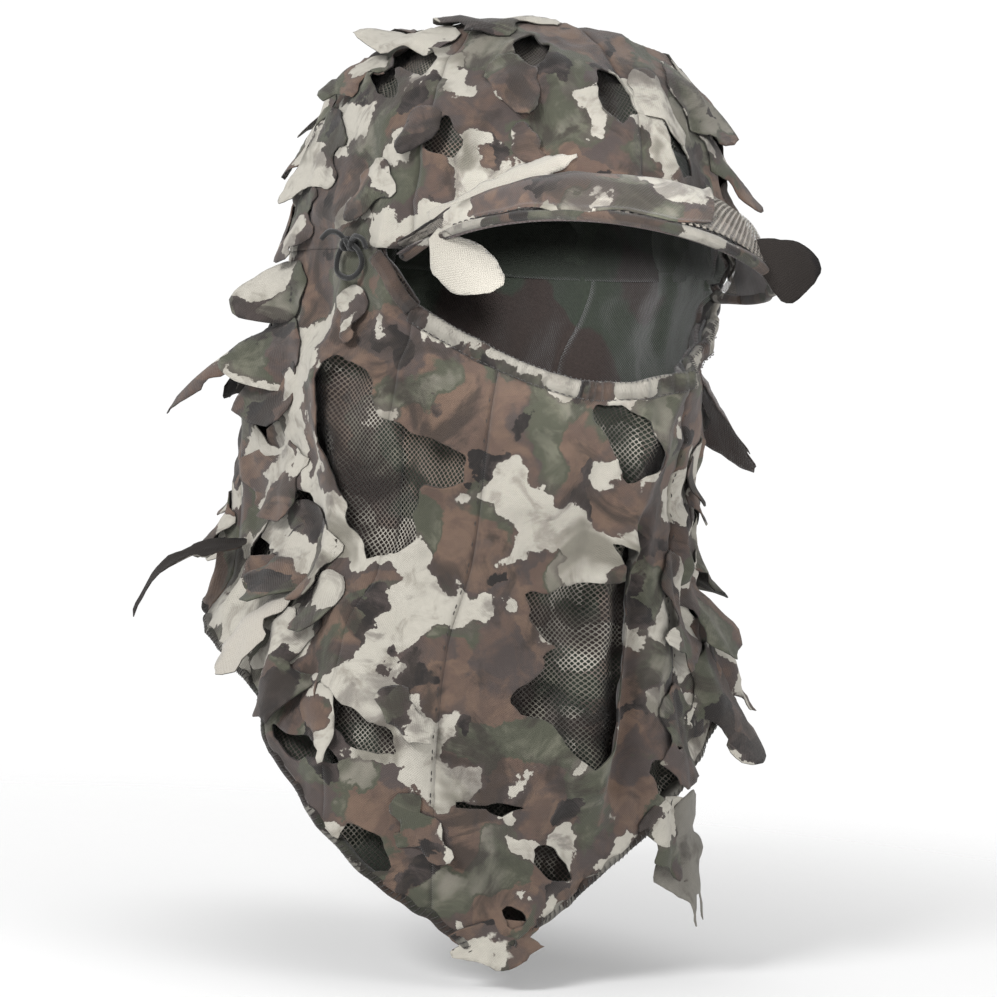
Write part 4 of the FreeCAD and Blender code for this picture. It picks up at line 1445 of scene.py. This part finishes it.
build_crown()
build_drape()
build_face_cover()
sweatband_piece()
temple_loops()
corner_pieces()
eye_hem_piece()
hem_piece("hem_band_left", "hem_binding_left", FACE_EDGE_ANGLE, 180.0, "hood", HOOD_BLEND)
hem_piece("hem_band_right", "hem_binding_right", -180.0, -FACE_EDGE_ANGLE, "hood", HOOD_BLEND)
hem_piece("bib_hem_band", "bib_hem_binding", -FACE_EDGE_ANGLE, FACE_EDGE_ANGLE, "face_cover",
          COVER_BLEND)
build_brim()
build_leaves()
build_loose_leaves()
seam_thread()

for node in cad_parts.values():
    if not node.hide_render:
        node.data.materials.clear()
        node.data.materials.append(MATERIALS["board"])


# ---------- stage

def fading_floor(nodes):
    place = nodes.add("ShaderNodeTexCoord").outputs["Object"]
    away = nodes.vector_math("LENGTH", place)["Value"]
    shader = nodes.add("ShaderNodeBsdfPrincipled")
    return nodes.put(shader, Base_Color=(0.96, 0.96, 0.96, 1.0), Roughness=0.9,
                     Alpha=nodes.slope(away, 0.28, 0.95, 1.0, 0.0))


def build_stage():
    """Pale floor that fades into the white surroundings away from the hood."""
    size, height, sides = 2.2, CAD_BOX[0].z - 0.012, 64
    ring = [
        (size * math.cos(turn), size * math.sin(turn), height)
        for turn in np.linspace(0.0, math.tau, sides, endpoint=False)
    ]
    mesh = bpy.data.meshes.new("floor")
    mesh.from_pydata(ring, [], [list(range(sides))])
    mesh.materials.append(material_of("pale_floor", fading_floor))
    link_object("floor", mesh)


def add_lamp(name, kind, place, target, power):
    """Hangs a lamp at a place and turns it towards its target."""
    light = bpy.data.lights.new(name, kind)
    light.energy = power
    lamp = link_object(name, light)
    lamp.location = place
    lamp.rotation_mode = "QUATERNION"
    lamp.rotation_quaternion = (Vector(place) - Vector(target)).to_track_quat("Z", "Y")
    return light


def build_lights():
    panels = {
        "key": ((-1.8, -0.9, 0.92), 0.7, 38.0),
        "fill": ((1.2, -1.7, 0.4), 1.6, 11.0),
        "top": ((0.2, 0.5, 1.9), 1.6, 9.0),
    }
    for name, (place, size, power) in panels.items():
        panel = add_lamp(name, "AREA", place, (0.0, 0.0, -0.10), power)
        panel.shape = "DISK"
        panel.size = size
    spot = add_lamp("opening", "SPOT", (-0.55, -0.98, 0.02), (0.01, -0.06, -0.012), 85.0)
    spot.spot_size = math.radians(8.5)
    spot.spot_blend = 1.0
    spot.shadow_soft_size = 0.05


def build_world():
    """White surroundings, bright at eye level and dimmer above and below."""
    world = bpy.data.worlds.new("studio")
    world.use_nodes = True
    nodes = Nodes(world.node_tree)
    height = nodes.split(nodes.add("ShaderNodeTexCoord").outputs["Generated"])["Z"]
    strength = nodes.slope(nodes.math("ABSOLUTE", height), 0.26, 0.62, 1.02, 0.42)
    background = world.node_tree.nodes["Background"]
    nodes.put(background, Color=(1.0, 1.0, 1.0, 1.0), Strength=strength)
    bpy.context.scene.world = world
    bpy.context.scene.view_settings.view_transform = "Standard"


CAMERA_AZIMUTH = math.radians(-31.0)
CAMERA_ELEVATION = math.radians(1.0)
CAMERA_ROLL = math.radians(4.26)
CAMERA_DISTANCE = 1.5
VIEW_WIDTH = 0.4859
AIM = Vector((0.0, 0.0, -0.12))
AIM_RIGHT = 0.0050
AIM_UP = 0.0077


def build_camera():
    back = Vector((
        math.sin(CAMERA_AZIMUTH) * math.cos(CAMERA_ELEVATION),
        -math.cos(CAMERA_AZIMUTH) * math.cos(CAMERA_ELEVATION),
        math.sin(CAMERA_ELEVATION),
    ))
    right = Vector((0.0, 0.0, 1.0)).cross(back).normalized()
    up = back.cross(right)
    rolled_right = right * math.cos(CAMERA_ROLL) + up * math.sin(CAMERA_ROLL)
    rolled_up = up * math.cos(CAMERA_ROLL) - right * math.sin(CAMERA_ROLL)
    data = bpy.data.cameras.new("camera")
    data.sensor_width = 36.0
    data.lens = data.sensor_width * CAMERA_DISTANCE / VIEW_WIDTH
    camera = link_object("camera", data)
    place = AIM + back * CAMERA_DISTANCE + rolled_right * AIM_RIGHT + rolled_up * AIM_UP
    rows = [(rolled_right[n], rolled_up[n], back[n], place[n]) for n in range(3)]
    camera.matrix_world = Matrix(rows + [(0.0, 0.0, 0.0, 1.0)])
    bpy.context.scene.camera = camera


build_stage()
build_lights()
build_world()
build_camera()
